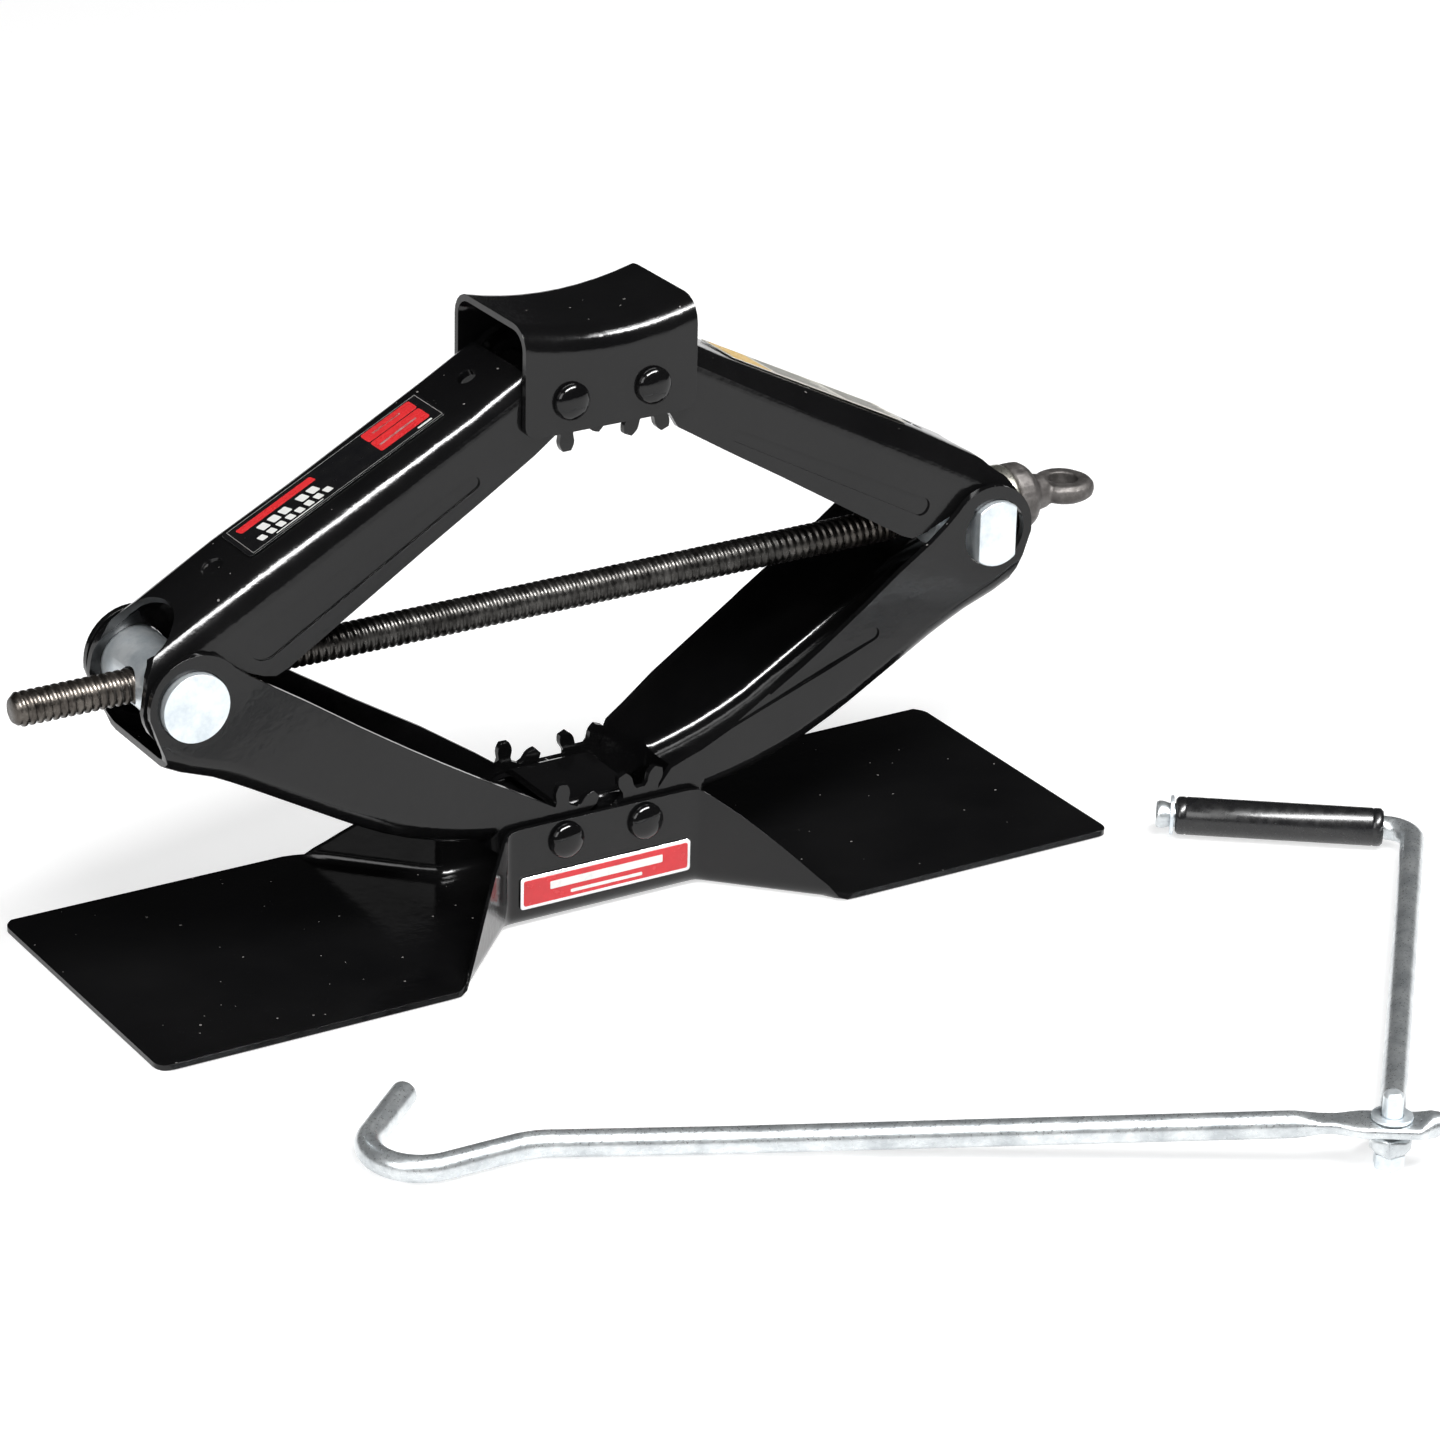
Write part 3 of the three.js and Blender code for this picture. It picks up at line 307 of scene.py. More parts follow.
INK_EDGE = printed("ink_edge", (0.30, 0.30, 0.29), (0.22, 0.22, 0.21), 0.30)
INK_GREY = printed("ink_grey", (0.12, 0.12, 0.12), (0.20, 0.20, 0.19), 0.34)


# ---------------------------------------------------------------- mesh tools
def object_from(name, mesh, material):
    obj = bpy.data.objects.new(name, mesh)
    bpy.context.scene.collection.objects.link(obj)
    obj.data.materials.clear()
    obj.data.materials.append(material)
    return obj


def mesh_object(name, vertices, faces, material):
    mesh = bpy.data.meshes.new(name)
    mesh.from_pydata([tuple(v) for v in vertices], [], faces)
    mesh.validate()
    return object_from(name, mesh, material)


def bake_modifiers(obj):
    """Turns the object's modifiers into its mesh."""
    depsgraph = bpy.context.evaluated_depsgraph_get()
    mesh = bpy.data.meshes.new_from_object(obj.evaluated_get(depsgraph))
    obj.modifiers.clear()
    obj.data = mesh
    return obj


def smooth_faces(obj):
    for polygon in obj.data.polygons:
        polygon.use_smooth = True
    return obj


def settle(obj, body, slot, *nodes):
    """The piece rides on its body and stands for its CAD nodes. Its slot is not used."""
    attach(obj, body)
    if nodes:
        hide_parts(*nodes)
    return obj


def cad_copy(node, name, material):
    """The CAD solid's mesh as its own object, welded, with flat stretches made one face."""
    obj = object_from(name, NODES[node].data.copy(), material)
    work = bmesh.new()
    work.from_mesh(obj.data)
    bmesh.ops.remove_doubles(work, verts=work.verts, dist=2e-6)
    nearly_flat = math.radians(0.6)
    bmesh.ops.dissolve_limit(work, angle_limit=nearly_flat, verts=work.verts, edges=work.edges)
    work.to_mesh(obj.data)
    work.free()
    return obj


def round_edges(obj, width, segments=2, angle=32.0):
    bevel = obj.modifiers.new("bevel", "BEVEL")
    bevel.width = width
    bevel.segments = segments
    bevel.limit_method = "ANGLE"
    bevel.angle_limit = math.radians(angle)
    bevel.use_clamp_overlap = True
    bevel.miter_outer = "MITER_ARC"
    bake_modifiers(obj)
    smooth_faces(obj)
    weighted = obj.modifiers.new("weighted", "WEIGHTED_NORMAL")
    weighted.mode = "FACE_AREA"
    weighted.weight = 70
    return bake_modifiers(obj)


def cut(obj, cutter):
    boolean = obj.modifiers.new("cut", "BOOLEAN")
    boolean.operation = "DIFFERENCE"
    boolean.solver = "EXACT"
    boolean.object = cutter
    bake_modifiers(obj)
    bpy.data.objects.remove(cutter)
    return obj


def pressed_sheet(node, name, body, width=0.55 * MM, cutters=()):
    """A pressed sheet piece: the CAD solid with its presswork and rounded edges."""
    obj = cad_copy(node, name, ENAMEL)
    for cutter in cutters:
        cut(obj, cutter)
    round_edges(obj, width)
    return settle(obj, body, "black_enamel", node)


def turned(name, profile, origin, axis, material, sides=48):
    """A closed lathe: profile is [(along, radius)], from one end on the axis to the other."""
    axis = Vector(axis).normalized()
    across = axis.orthogonal().normalized()
    other = axis.cross(across)
    vertices = []
    rings = []
    for along, radius in profile:
        centre = Vector(origin) + axis * along
        if radius < 1e-7:
            rings.append([len(vertices)])
            vertices.append(centre)
            continue
        rings.append(list(range(len(vertices), len(vertices) + sides)))
        for k in range(sides):
            turn = 2 * math.pi * k / sides
            vertices.append(centre + (across * math.cos(turn) + other * math.sin(turn)) * radius)
    faces = []
    for low, high in zip(rings, rings[1:]):
        for k in range(sides):
            following = (k + 1) % sides
            near = [low[k % len(low)], low[following % len(low)]]
            far = [high[following % len(high)], high[k % len(high)]]
            faces.append(list(dict.fromkeys(near + far)))
    return smooth_faces(mesh_object(name, vertices, faces, material))


def weld(obj, distance=1e-7):
    work = bmesh.new()
    work.from_mesh(obj.data)
    bmesh.ops.remove_doubles(work, verts=work.verts, dist=distance)
    work.to_mesh(obj.data)
    work.free()
    return obj


def sharpen(obj, angle=35.0):
    """Smooth shading that stops at edges steeper than the angle."""
    work = bmesh.new()
    work.from_mesh(obj.data)
    bmesh.ops.recalc_face_normals(work, faces=work.faces)
    for edge in work.edges:
        edge.smooth = not (len(edge.link_faces) == 2 and edge.calc_face_angle() > math.radians(angle))
    for face in work.faces:
        face.smooth = True
    work.to_mesh(obj.data)
    work.free()
    return obj


def arc(centre_along, centre_radius, radius, start, end, steps):
    """Points of a round corner in a lathe profile, angles in degrees from the +along axis."""
    points = []
    for k in range(steps + 1):
        turn = math.radians(start + (end - start) * k / steps)
        points.append((centre_along + radius * math.cos(turn), centre_radius + radius * math.sin(turn)))
    return points


# ---------------------------------------------------------------- arms and frame
def arm_frame(pivot, trunnion, web_up):
    """Matrix from an arm's own axes (along, to the back, towards the web) to the jack's."""
    along = (trunnion - pivot).normalized()
    back = Vector((0, 1, 0))
    web = Vector((-along.z, 0, along.x)) if along.x > 0 else Vector((along.z, 0, -along.x))
    if not web_up:
        web = -web
    matrix = Matrix((along, back, web)).transposed().to_4x4()
    matrix.translation = pivot
    return matrix


SADDLE_PIVOT_RIGHT = Vector((-SADDLE_PIVOT_LEFT.x, 0, SADDLE_PIVOT_LEFT.z))
BASE_PIVOT_RIGHT = Vector((-BASE_PIVOT_LEFT.x, 0, BASE_PIVOT_LEFT.z))
UPPER_LEFT = arm_frame(SADDLE_PIVOT_LEFT, TRUNNION_LEFT, True)
UPPER_RIGHT = arm_frame(SADDLE_PIVOT_RIGHT, TRUNNION_RIGHT, True)
LOWER_RIGHT = arm_frame(BASE_PIVOT_RIGHT, TRUNNION_RIGHT, False)


def prism(name, matrix, outline, low, highs, draft):
    """A solid in an arm's axes from Y = low to one Y for each point of its outline.
    The far end is larger all round by the draft."""
    count = len(outline)
    middle = sum((Vector(point) for point in outline), Vector((0, 0))) / count
    vertices = [matrix @ Vector((x, low, z)) for x, z in outline]
    for (x, z), high in zip(outline, highs):
        outward = (Vector((x, z)) - middle).normalized() * draft
        vertices.append(matrix @ Vector((x + outward.x, high, z + outward.y)))
    faces = [list(range(count)), list(range(2 * count - 1, count - 1, -1))]
    faces += [[k, k + count, (k + 1) % count + count, (k + 1) % count] for k in range(count)]
    obj = mesh_object(name, vertices, faces, ENAMEL)
    return sharpen(obj)


def slot_outline(start, end, start_radius, end_radius, steps=12):
    """A long panel with round ends of different size."""
    start, end = Vector(start), Vector(end)
    heading = math.atan2(end.y - start.y, end.x - start.x)
    points = []
    for k in range(steps + 1):
        turn = heading + math.pi / 2 + math.pi * k / steps
        points.append((start.x + start_radius * math.cos(turn), start.y + start_radius * math.sin(turn)))
    for k in range(steps + 1):
        turn = heading - math.pi / 2 + math.pi * k / steps
        points.append((end.x + end_radius * math.cos(turn), end.y + end_radius * math.sin(turn)))
    return points


def millimetres(points):
    return [(x * MM, z * MM) for x, z in points]


def lower_splay(x):
    """How much wider a lower arm's wall stands at a place along the arm."""
    return WALL_SPLAY * min(max((x - SPLAY_START) / SPLAY_LENGTH, 0.0), 1.0)


def wall_recesses(name, matrix, ends, radii, splay=None):
    """Cutters for the shallow racetrack pressed into both walls of an arm."""
    outline = millimetres(slot_outline(*ends, *radii))
    floors = [UPPER_WALL + (splay(x) if splay else 0.0) - RECESS_DEPTH for x, _ in outline]
    cutters = []
    for side in (-1, 1):
        side_floors = [side * floor for floor in floors]
        outside = side * CUTTER_REACH
        cutters.append(prism(f"{name}_{side}", matrix, outline, outside, side_floors, RECESS_DRAFT))
    return cutters


def web_dimple(name, matrix):
    """Cutter for the round dimple near the trunnion end of an upper arm's web."""
    profile = [(0.0, 0.0), (0.0, 3.0 * MM), (0.5 * MM, 3.9 * MM), (1.4 * MM, 4.3 * MM)]
    profile += [(4 * MM, 4.5 * MM), (4 * MM, 0.0)]
    origin = matrix @ Vector(DIMPLE_PLACE)
    axis = matrix.to_3x3() @ UP
    return sharpen(turned(name, profile, origin, axis, ENAMEL, 40))


def make_arms():
    cutters = wall_recesses("recess_left", UPPER_LEFT, ((44, -3.4), (134, -1.0)), (2.6, 6.2))
    cutters.append(web_dimple("dimple_left", UPPER_LEFT))
    pressed_sheet("upper_left_arm", "arm_upper_left", "upper_left", cutters=cutters)
    cutters = wall_recesses("recess_right", UPPER_RIGHT, ((45, -4.9), (134, -2.2)), (2.2, 3.4))
    cutters.append(web_dimple("dimple_right", UPPER_RIGHT))
    pressed_sheet("upper_right_arm", "arm_upper_right", "upper_right", cutters=cutters)
    pressed_sheet("lower_left_arm", "arm_lower_left", "lower_left")
    crease = ((40, -7.5), (108, 1.0))
    cutters = wall_recesses("crease_right", LOWER_RIGHT, crease, (1.5, 2.6), lower_splay)
    pressed_sheet("lower_right_arm", "arm_lower_right", "lower_right", cutters=cutters)


def make_base_and_saddle():
    pressed_sheet("base_plate", "foot", "base", width=0.5 * MM)
    pressed_sheet("base_spacer", "foot_bracket", "base")
    pressed_sheet("saddle", "saddle_cap", "saddle", width=0.3 * MM)
    pressed_sheet("saddle_spacer", "saddle_bracket", "saddle")


def make_rivet(name, node, body):
    low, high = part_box(node)
    middle = (low + high) / 2
    half = (high.y - low.y) / 2
    seat = half - RIVET_SEAT
    profile = [(-half, 0.0)]
    for k in range(1, 9):
        turn = math.pi / 2 * k / 8
        profile.append((-seat - 0.6 * MM - RIVET_DOME * math.cos(turn), RIVET_HEAD * math.sin(turn)))
    profile += [(-seat, RIVET_HEAD - 0.05 * MM), (-seat, PIN_RADIUS)]
    profile += [(-along, radius) for along, radius in reversed(profile)]
    obj = sharpen(turned(name, profile, middle, (0, 1, 0), RIVET_BLACK, 40), 50)
    settle(obj, body, "rivet_black", node)


def make_rivets():
    for side in ("left", "right"):
        make_rivet(f"foot_rivet_{side}", f"base_pivot_pin_{side}", "base")
        make_rivet(f"saddle_rivet_{side}", f"saddle_pivot_pin_{side}", "saddle")


# ---------------------------------------------------------------- screw, trunnions and bearing
def make_trunnions():
    for node, name, body in (
        ("trunnion_nut", "nut_bar", "trunnion_left"),
        ("thrust_trunnion", "thrust_bar", "trunnion_right"),
    ):
        obj = cad_copy(node, name, ZINC)
        round_edges(obj, 0.7 * MM, 3)
        settle(obj, body, "bright_zinc", node)


def thread_radius(phase):
    """Radius of a rolled trapezoid thread over one pitch."""
    place = abs((phase % 1.0) - 0.5) * 2
    ramp = min(max((place - 0.32) / 0.36, 0.0), 1.0)
    return THREAD_CREST - THREAD_DEPTH * ramp * ramp * (3 - 2 * ramp)


def make_screw():
    low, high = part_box("lead_screw")
    thread_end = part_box("stop_ring")[0].x
    sides = 36
    per_pitch = 10
    start = low.x - THREAD_PITCH
    rows = int((thread_end - start) / THREAD_PITCH * per_pitch) + per_pitch
    vertices = []
    for i in range(rows):
        for k in range(sides):
            turn = 2 * math.pi * k / sides
            x = start + (i / per_pitch + k / sides) * THREAD_PITCH
            wobble = 1 + 0.012 * noise.noise(Vector((x * 160, math.cos(turn) * 2, math.sin(turn) * 2)))
            radius = min(thread_radius(i / per_pitch) * wobble, THREAD_CREST)
            held = min(max(x, low.x), thread_end)
            radius = min(radius, THREAD_CREST - THREAD_CHAMFER * 0.8 + (held - low.x) * 0.8)
            vertices.append((held, radius * math.cos(turn), SCREW_Z + radius * math.sin(turn)))
    faces = []
    for i in range(rows - per_pitch - 1):
        for k in range(sides):
            if k + 1 < sides:
                following = (i * sides + k + 1, (i + 1) * sides + k + 1)
            else:
                following = ((i + per_pitch) * sides, (i + per_pitch + 1) * sides)
            faces.append([i * sides + k, (i + 1) * sides + k, following[1], following[0]])
    thread = mesh_object("screw_thread", vertices, faces, SCREW_STEEL)
    work = bmesh.new()
    work.from_mesh(thread.data)
    bmesh.ops.remove_doubles(work, verts=work.verts, dist=5e-6)
    bmesh.ops.dissolve_degenerate(work, edges=work.edges, dist=5e-6)
    bmesh.ops.holes_fill(work, edges=work.edges, sides=0)
    bmesh.ops.recalc_face_normals(work, faces=work.faces)
    work.to_mesh(thread.data)
    work.free()
    smooth_faces(thread)
    settle(thread, "screw", "screw_steel", "lead_screw")
    eye_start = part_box("drive_eye")[0].x
    shank_start = thread_end - 3 * MM
    shank = [
        (shank_start, 0), (shank_start, SHANK_RADIUS), (eye_start, SHANK_RADIUS),
        (eye_start, SPIGOT_RADIUS), (high.x, SPIGOT_RADIUS), (high.x, 0),
    ]
    origin = (0, 0, SCREW_Z)
    obj = sharpen(turned("screw_shank", shank, origin, (1, 0, 0), SCREW_STEEL, 36))
    settle(obj, "screw", "screw_steel")


def ring(name, node, body, slot, material, bore, rounding):
    """A turned ring with rounded rims, on the screw's axis, of the CAD ring's own size."""
    low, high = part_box(node)
    outer = (high.z - low.z) / 2
    profile = [(low.x, bore), (low.x, outer - rounding)]
    profile += arc(low.x + rounding, outer - rounding, rounding, 180, 90, 5)[1:]
    profile += arc(high.x - rounding, outer - rounding, rounding, 90, 0, 5)
    profile += [(high.x, bore), (low.x, bore)]
    obj = turned(name, profile, (0, 0, (low.z + high.z) / 2), (1, 0, 0), material, 56)
    return settle(sharpen(weld(obj)), body, slot, node)


def make_bearing():
    ring("thrust_race", "bearing_race", "screw", "bearing_steel", BEARING, RING_BORE, 0.5 * MM)
    ring("thrust_cage", "bearing_cage", "screw", "bright_zinc", ZINC, RING_BORE, 0.5 * MM)
    ring("thrust_cup", "bearing_cup", "screw", "bearing_steel", BEARING, RING_BORE, 1.1 * MM)
    ring("stop_collar", "stop_ring", "screw", "bright_zinc", ZINC, 6.3 * MM, 0.8 * MM)
    obj = cad_copy("stop_pin", "collar_pin", SCREW_STEEL)
    round_edges(obj, 0.3 * MM)
    settle(obj, "screw", "screw_steel", "stop_pin")


def make_eye():
    obj = cad_copy("drive_eye", "forged_eye", FORGED)
    remesh = obj.modifiers.new("remesh", "REMESH")
    remesh.mode = "VOXEL"
    remesh.voxel_size = 0.45 * MM
    soften = obj.modifiers.new("soften", "SMOOTH")
    soften.factor = 0.5
    soften.iterations = 9
    bake_modifiers(obj)
    vertices = obj.data.vertices
    places = [(vertex.co.copy(), vertex.normal.copy()) for vertex in vertices]
    for vertex, (place, normal) in zip(vertices, places):
        lump = noise.noise(place * 160) * 0.22 * MM + noise.noise(place * 420) * 0.07 * MM
        vertex.co = place + normal * lump
    smooth_faces(obj)
    settle(obj, "screw", "forged_steel", "drive_eye")


# ---------------------------------------------------------------- crank
def crank_axes():
    """Matrix from the crank's own axes (towards the hook, across, up) to the jack's."""
    matrix = Matrix.Rotation(math.radians(CRANK_HEADING), 4, "Z")
    matrix.translation = (CRANK_PIVOT.x, CRANK_PIVOT.y, 0)
    return matrix


def bent_path(corners, step=2.5 * MM):
    """Points of a bent rod's centreline. A corner is (x, y, z, bend radius), in millimetres."""
    points = []
    places = [Vector(corner[:3]) * MM for corner in corners]
    for i, corner in enumerate(corners):
        at = places[i]
        radius = corner[3] * MM
        if not radius:
            points.append(at)
            continue
        inward = (places[i - 1] - at).normalized()
        outward = (places[i + 1] - at).normalized()
        half = inward.angle(outward) / 2
        centre = at + (inward + outward).normalized() * (radius / math.sin(half))
        spoke = at + inward * (radius / math.tan(half)) - centre
        axis = outward.cross(inward).normalized()
        count = max(int((math.pi - 2 * half) * radius / step), 6)
        for k in range(count + 1):
            turn = Matrix.Rotation((math.pi - 2 * half) * k / count, 3, axis)
            points.append(turn @ spoke + centre)
    dense = [points[0]]
    for point in points[1:]:
        gap = (point - dense[-1]).length
        pieces = max(int(gap / step), 1)
        start = dense[-1].copy()
        dense += [start.lerp(point, (k + 1) / pieces) for k in range(pieces)]
    return dense


def bar(name, path, section, matrix, material, sides=28):
    """A bar swept along a path that lies nearly flat. section(distance from the start,
    distance to the end) gives its half width, half height and squareness."""
    lengths = [0.0]
    for before, after in zip(path, path[1:]):
        lengths.append(lengths[-1] + (after - before).length)
    vertices = []
    for i, point in enumerate(path):
        ahead = path[min(i + 1, len(path) - 1)]
        behind = path[max(i - 1, 0)]
        along = (ahead - behind).normalized()
        across = UP.cross(along).normalized()
        rise = along.cross(across)
        width, height, power = section(lengths[i], lengths[-1] - lengths[i])
        for k in range(sides):
            turn = 2 * math.pi * k / sides
            cosine, sine = math.cos(turn), math.sin(turn)
            sideways = math.copysign(abs(cosine) ** (2 / power), cosine) * width
            upwards = math.copysign(abs(sine) ** (2 / power), sine) * height
            vertices.append(matrix @ (point + across * sideways + rise * upwards))
    faces = [list(range(sides - 1, -1, -1))]
    last = (len(path) - 1) * sides
    faces.append(list(range(last, last + sides)))
    for i in range(len(path) - 1):
        for k in range(sides):
            following = (k + 1) % sides
            corners = [i * sides + k, i * sides + following, (i + 1) * sides + following, (i + 1) * sides + k]
            faces.append(corners)
    return sharpen(mesh_object(name, vertices, faces, material), 50)


def blend_between(value, start, end):
    t = min(max((value - start) / (end - start), 0.0), 1.0)
    return t * t * (3 - 2 * t)


def end_rounding(distance, corner):
    """Shrinks a bar's section near a cut end, so that its rim is rounded."""
    if distance >= corner:
        return 0.0
    return corner - math.sqrt(corner ** 2 - (corner - distance) ** 2)


def finer_end(path):
    """Closes the points up towards the end of a path, so that its rim can be rounded."""
    before, end = path[-2], path[-1]
    return path[:-1] + [before.lerp(end, t) for t in (0.3, 0.6, 0.8, 0.9, 0.97, 1.0)]


def make_hook_bar(matrix):
    path = finer_end(bent_path([
        (-17, 0, 16.2, 0), (-9, 0, 14.75, 12), (22, 0, 14.75, 60), (213, 2.9, 4.6, 150),
        (278.3, 9.2, 4.6, 26), (343, 48.5, 4.6, 17), (321.4, -24, 4.6, 0),
    ]))

    def rod_section(start, to_end):
        stub = blend_between(start, 2 * MM, 9 * MM)
        flat = stub * (1 - blend_between(start, 39 * MM, 50 * MM))
        broad = stub * (1 - blend_between(start, 26 * MM, 36 * MM))
        rim = end_rounding(to_end, 1.4 * MM) + end_rounding(start, 1.2 * MM)
        width = HOOK_ROD * (1 - broad) + HOOK_PLATE[0] * broad - rim
        height = HOOK_ROD * (1 - flat) + HOOK_PLATE[1] * flat - rim
        return width, height, 2 + 1.4 * flat

    settle(bar("hook_bar", path, rod_section, matrix, ZINC_ROD), "crank", "bright_zinc", "hook_rod")


def make_crank_fasteners():
    for node, name, body in (
        ("hinge_bolt", "crank_bolt", "crank"),
        ("hinge_washer", "crank_washer", "crank"),
        ("grip_washer", "grip_end_washer", "crank_swing"),
    ):
        obj = cad_copy(node, name, ZINC)
        round_edges(obj, 0.35 * MM)
        settle(obj, body, "bright_zinc", node)


def make_crank_bar(swing):
    turn = math.radians(GRIP_TURN)
    tip = (ARM_REACH + SPINDLE_REACH * math.cos(turn), SPINDLE_REACH * math.sin(turn), GRIP_HEIGHT, 0)
    corner = (ARM_REACH, 0, GRIP_HEIGHT, 10)
    path = finer_end(bent_path([(-7, 0, 8.8, 0), (9, 0, 8.8, 60), corner, tip]))

    def arm_section(start, to_end):
        flat = 1 - blend_between(start, 29 * MM, 37 * MM)
        broad = 1 - blend_between(start, 15 * MM, 25 * MM)
        nose = end_rounding(start, 7 * MM)
        peened = 0.7 * MM * (1 - blend_between(to_end, 4.2 * MM, 5.0 * MM))
        rim = end_rounding(to_end, 1.3 * MM)
        width = ARM_ROD * (1 - broad) + (ARM_PLATE[0] - nose) * broad + peened - rim
        height = ARM_ROD * (1 - flat) + ARM_PLATE[1] * flat + peened - rim
        return max(width, 0.4 * MM), height, 2 + 1.2 * flat

    settle(bar("crank_bar", path, arm_section, swing, ZINC_ROD), "crank_swing", "bright_zinc", "crank_arm")


def make_grip(swing):
    corner = Matrix.Translation((ARM_REACH * MM, 0, GRIP_HEIGHT * MM))
    frame_matrix = swing @ corner @ Matrix.Rotation(math.radians(GRIP_TURN), 4, "Z")
    axis = (frame_matrix.to_3x3() @ Vector((1, 0, 0))).normalized()
    start, end = GRIP_ENDS
    groove = GRIP_RADIUS - 0.25 * MM
    rim = [
        (0, GRIP_BORE), (0, 5.9 * MM), (0.9 * MM, 6.9 * MM), (1.8 * MM, GRIP_RADIUS),
        (3.2 * MM, GRIP_RADIUS), (3.7 * MM, groove), (4.2 * MM, GRIP_RADIUS),
    ]
    profile = [(start + inset, radius) for inset, radius in rim]
    profile += [(end - inset, radius) for inset, radius in reversed(rim)]
    profile.append((start, GRIP_BORE))
    obj = turned("grip_sleeve", profile, frame_matrix.translation, axis, GRIP_BLACK, 48)
    settle(sharpen(weld(obj), 40), "grip", "grip_black", "crank_grip")


def make_crank():
    matrix = crank_axes()
    swing = matrix @ Matrix.Rotation(math.radians(ARM_TURN), 4, "Z")
    make_hook_bar(matrix)
    make_crank_fasteners()
    make_crank_bar(swing)
    make_grip(swing)


# ---------------------------------------------------------------- badge and labels
def flat_print(name, matrix, outlines, low, high, material):
    """Thin printed shapes lying in the XY plane of the matrix, between two heights."""
    vertices = []
    faces = []
    for outline in outlines:
        first = len(vertices)
        count = len(outline)
        vertices += [matrix @ Vector((x, y, low)) for x, y in outline]
        vertices += [matrix @ Vector((x, y, high)) for x, y in outline]
        faces.append([first + k for k in reversed(range(count))])
        faces.append([first + count + k for k in range(count)])
        for k in range(count):
            following = (k + 1) % count
            faces.append([first + k, first + following, first + count + following, first + count + k])
    obj = mesh_object(name, vertices, faces, material)
    return sharpen(obj, 30)


def rounded_box(centre, half, radius, skew=0.0, steps=4):
    points = []
    for quarter, (sx, sy) in enumerate(((1, -1), (1, 1), (-1, 1), (-1, -1))):
        corner = Vector((centre[0] + sx * (half[0] - radius), centre[1] + sy * (half[1] - radius)))
        for k in range(steps + 1):
            turn = math.pi / 2 * (quarter - 1 + k / steps)
            x = corner.x + radius * math.cos(turn)
            y = corner.y + radius * math.sin(turn)
            points.append((x + skew * (y - centre[1]), y))
    return points


def line_frame(centre, half, width):
    """Four thin bars that outline a rectangle."""
    bars = []
    for sign in (-1, 1):
        above = (centre[0], centre[1] + sign * half[1])
        beside = (centre[0] + sign * half[0], centre[1])
        bars.append(rounded_box(above, (half[0], width / 2), width * 0.3, steps=1))
        bars.append(rounded_box(beside, (width / 2, half[1]), width * 0.3, steps=1))
    return bars


def make_badge():
    low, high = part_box("front_badge")
    middle = (low + high) / 2
    matrix = Matrix(((1, 0, 0, middle.x), (0, 0, -1, high.y), (0, 1, 0, middle.z), (0, 0, 0, 1)))
    half = ((high.x - low.x) / 2, (high.z - low.z) / 2)
    depth = high.y - low.y
    rim = rounded_box((0, 0), half, 1.4 * MM)
    plate_top = depth - 0.25 * MM
    obj = flat_print("badge_plate", matrix, [rim], 0.0, plate_top, BADGE_RIM)
    round_edges(obj, 0.3 * MM)
    settle(obj, "base", "badge_red", "front_badge")
    field_half = (half[0] - 1.3 * MM, half[1] - 1.3 * MM)
    field = rounded_box((0, 0), field_half, 0.9 * MM)
    field_top = depth - 0.05 * MM
    obj = flat_print("badge_field", matrix, [field], plate_top - 0.1 * MM, field_top, BADGE_RED)
    round_edges(obj, 0.1 * MM, 1)
    settle(obj, "base", "badge_red")
    bars = []
    for place, length, height in ((0.20, 0.66, 0.24), (-0.45, 0.42, 0.10)):
        bars.append(rounded_box((0, place * half[1]), (length * half[0], height * half[1]), 0.4 * MM))
    obj = flat_print("badge_bars", matrix, bars, field_top - 0.05 * MM, depth + 0.05 * MM, INK_WHITE)
    settle(obj, "base", "badge_red")


def web_matrix(arm):
    """Axes on the sloping web of an upper arm: along it, to the back, and off its surface."""
    slope = Matrix.Rotation(-WEB_RISE, 4, "Y")
    return arm @ Matrix.Translation((WEB_START, 0, WEB_HEIGHT)) @ slope


def label_box(start, end, low, high, radius=0.6, skew=0.0):
    """A rounded block between two places along the arm and two across it, in millimetres."""
    centre = ((start + end) / 2 * MM - WEB_START, (low + high) / 2 * MM)
    half = ((end - start) / 2 * MM, (high - low) / 2 * MM)
    return rounded_box(centre, half, radius * MM, skew)


def print_on_label(name, arm, body, slot, material, outlines):
    matrix = web_matrix(arm)
    obj = flat_print(name, matrix, outlines, FILM_TOP - INK, FILM_TOP + INK, material)
    settle(obj, body, slot)


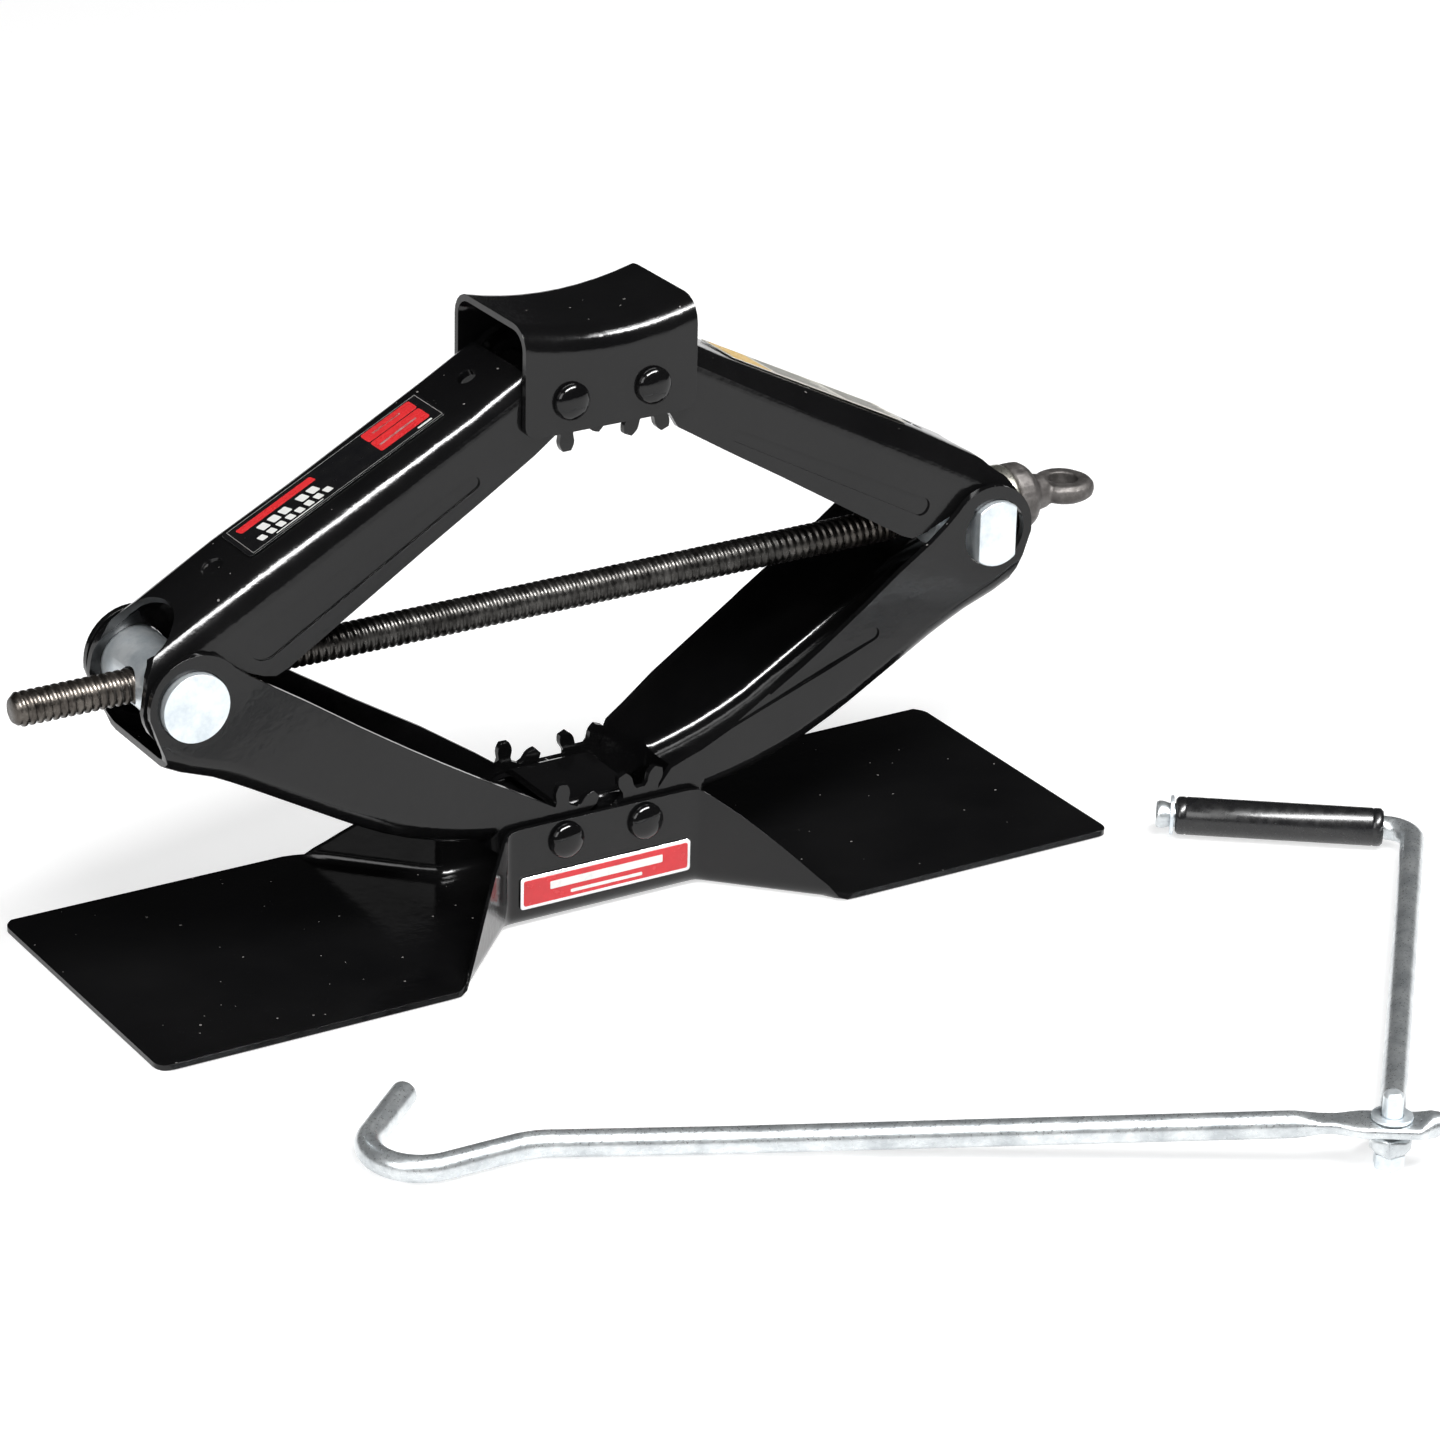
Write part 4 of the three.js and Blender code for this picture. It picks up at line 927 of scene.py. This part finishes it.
def make_labels():
    for node, name, body, material, slot in (
        ("upper_left_label", "film_left", "upper_left", FILM_BLACK, "label_dark"),
        ("upper_right_label", "film_right", "upper_right", FILM_PALE, "label_pale"),
    ):
        obj = cad_copy(node, name, material)
        round_edges(obj, 0.08 * MM, 1)
        settle(obj, body, slot, node)

    middle = (78 * MM - WEB_START, 0)
    edge = line_frame(middle, (40.6 * MM, 10.0 * MM), 0.22 * MM)
    print_on_label("film_left_edge", UPPER_LEFT, "upper_left", "label_dark", INK_EDGE, edge)
    white = [label_box(start, start + 3.2, -2.6, 1.8, 0.5, 0.2) for start in (86, 90.6, 98, 102.6, 107.2)]
    white += [label_box(start, start + 2.5, -7.4, -3.9, 0.4, 0.2) for start in range(83, 114, 4)]
    white += [label_box(88, 108, -9.0, -8.5, 0.2), label_box(41, 47, -8.9, -7.9, 0.3)]
    white += [label_box(46, 58, 5.6, 6.6, 0.3), label_box(44, 60, -3.0, -1.9, 0.3)]
    print_on_label("film_left_white", UPPER_LEFT, "upper_left", "label_dark", INK_WHITE, white)
    red = [label_box(40.5, 61.5, 2.5, 9.3, 1.0), label_box(40.5, 61.5, -6.6, 1.9, 1.0)]
    red.append(label_box(84, 116, 3.8, 7.6, 0.8, 0.2))
    print_on_label("film_left_red", UPPER_LEFT, "upper_left", "label_dark", INK_RED, red)

    band = [label_box(38.5, 56, -9.6, 9.6, 1.0)]
    print_on_label("film_right_band", UPPER_RIGHT, "upper_right", "label_pale", INK_YELLOW, band)
    lines = []
    for row, y in enumerate(range(-8, 9, 2)):
        lines.append(label_box(59, 88 - 3 * (row % 3), y - 0.4, y + 0.4, 0.2))
        lines.append(label_box(92, 117 - 2 * (row % 2), y - 0.4, y + 0.4, 0.2))
    print_on_label("film_right_lines", UPPER_RIGHT, "upper_right", "label_pale", INK_GREY, lines)


# ---------------------------------------------------------------- studio
def make_floor():
    material, _, shader, _ = new_material("floor")
    shader.inputs["Base Color"].default_value = (0.56, 0.56, 0.56, 1)
    shader.inputs["Roughness"].default_value = 0.9
    shader.inputs["Emission Color"].default_value = (1, 1, 1, 1)
    shader.inputs["Emission Strength"].default_value = 0.66
    reach = 8.0
    corners = [(-reach, -reach, 0), (reach, -reach, 0), (reach, reach, 0), (-reach, reach, 0)]
    floor = mesh_object("floor", corners, [[0, 1, 2, 3]], material)
    floor.location.z = CAD_BOX[0][2] - 0.2 * MM


def softbox(name, place, target, width, height, watts):
    data = bpy.data.lights.new(name, "AREA")
    data.shape = "RECTANGLE"
    data.size = width
    data.size_y = height
    data.energy = watts
    lamp = bpy.data.objects.new(name, data)
    bpy.context.scene.collection.objects.link(lamp)
    lamp.location = place
    lamp.rotation_euler = (Vector(target) - Vector(place)).to_track_quat("-Z", "Y").to_euler()
    lamp.visible_camera = False
    return lamp


def make_studio():
    make_floor()
    world = bpy.data.worlds.new("studio")
    world.use_nodes = True
    background = world.node_tree.nodes["Background"]
    background.inputs["Color"].default_value = (0.95, 0.97, 1, 1)
    background.inputs["Strength"].default_value = 0.02
    bpy.context.scene.world = world
    softbox("overhead", (0.3, -1.25, 2.3), (0, -0.1, 0), 2.3, 0.7, 78)
    softbox("left", (-2.0, -0.9, 1.35), (0, 0, 0.1), 1.3, 1.3, 26)
    glint = softbox("glint", (0.1, -1.3, 2.2), (0, -0.1, 0.1), 2.4, 0.45, 170)
    glint.visible_diffuse = False
    bpy.context.scene.view_settings.view_transform = "Standard"


def make_camera():
    data = bpy.data.cameras.new("camera")
    camera = bpy.data.objects.new("camera", data)
    bpy.context.scene.collection.objects.link(camera)
    level_look = Vector((-math.sin(CAMERA_AZIMUTH), math.cos(CAMERA_AZIMUTH), 0))
    look = level_look * math.cos(CAMERA_ELEVATION) - UP * math.sin(CAMERA_ELEVATION)
    camera.location = CAMERA_TARGET - look * CAMERA_DISTANCE
    level = Vector((math.cos(CAMERA_AZIMUTH), math.sin(CAMERA_AZIMUTH), 0))
    right = level * math.cos(CAMERA_ROLL) + level.cross(look) * math.sin(CAMERA_ROLL)
    upward = right.cross(look)
    camera.rotation_euler = Matrix((right, upward, -look)).transposed().to_euler()
    data.sensor_width = 36
    data.lens = CAMERA_LENS
    data.shift_x, data.shift_y = CAMERA_SHIFT
    bpy.context.scene.camera = camera


make_camera()
make_studio()
make_arms()
make_base_and_saddle()
make_rivets()
make_trunnions()
make_screw()
make_bearing()
make_eye()
make_crank()
make_badge()
make_labels()
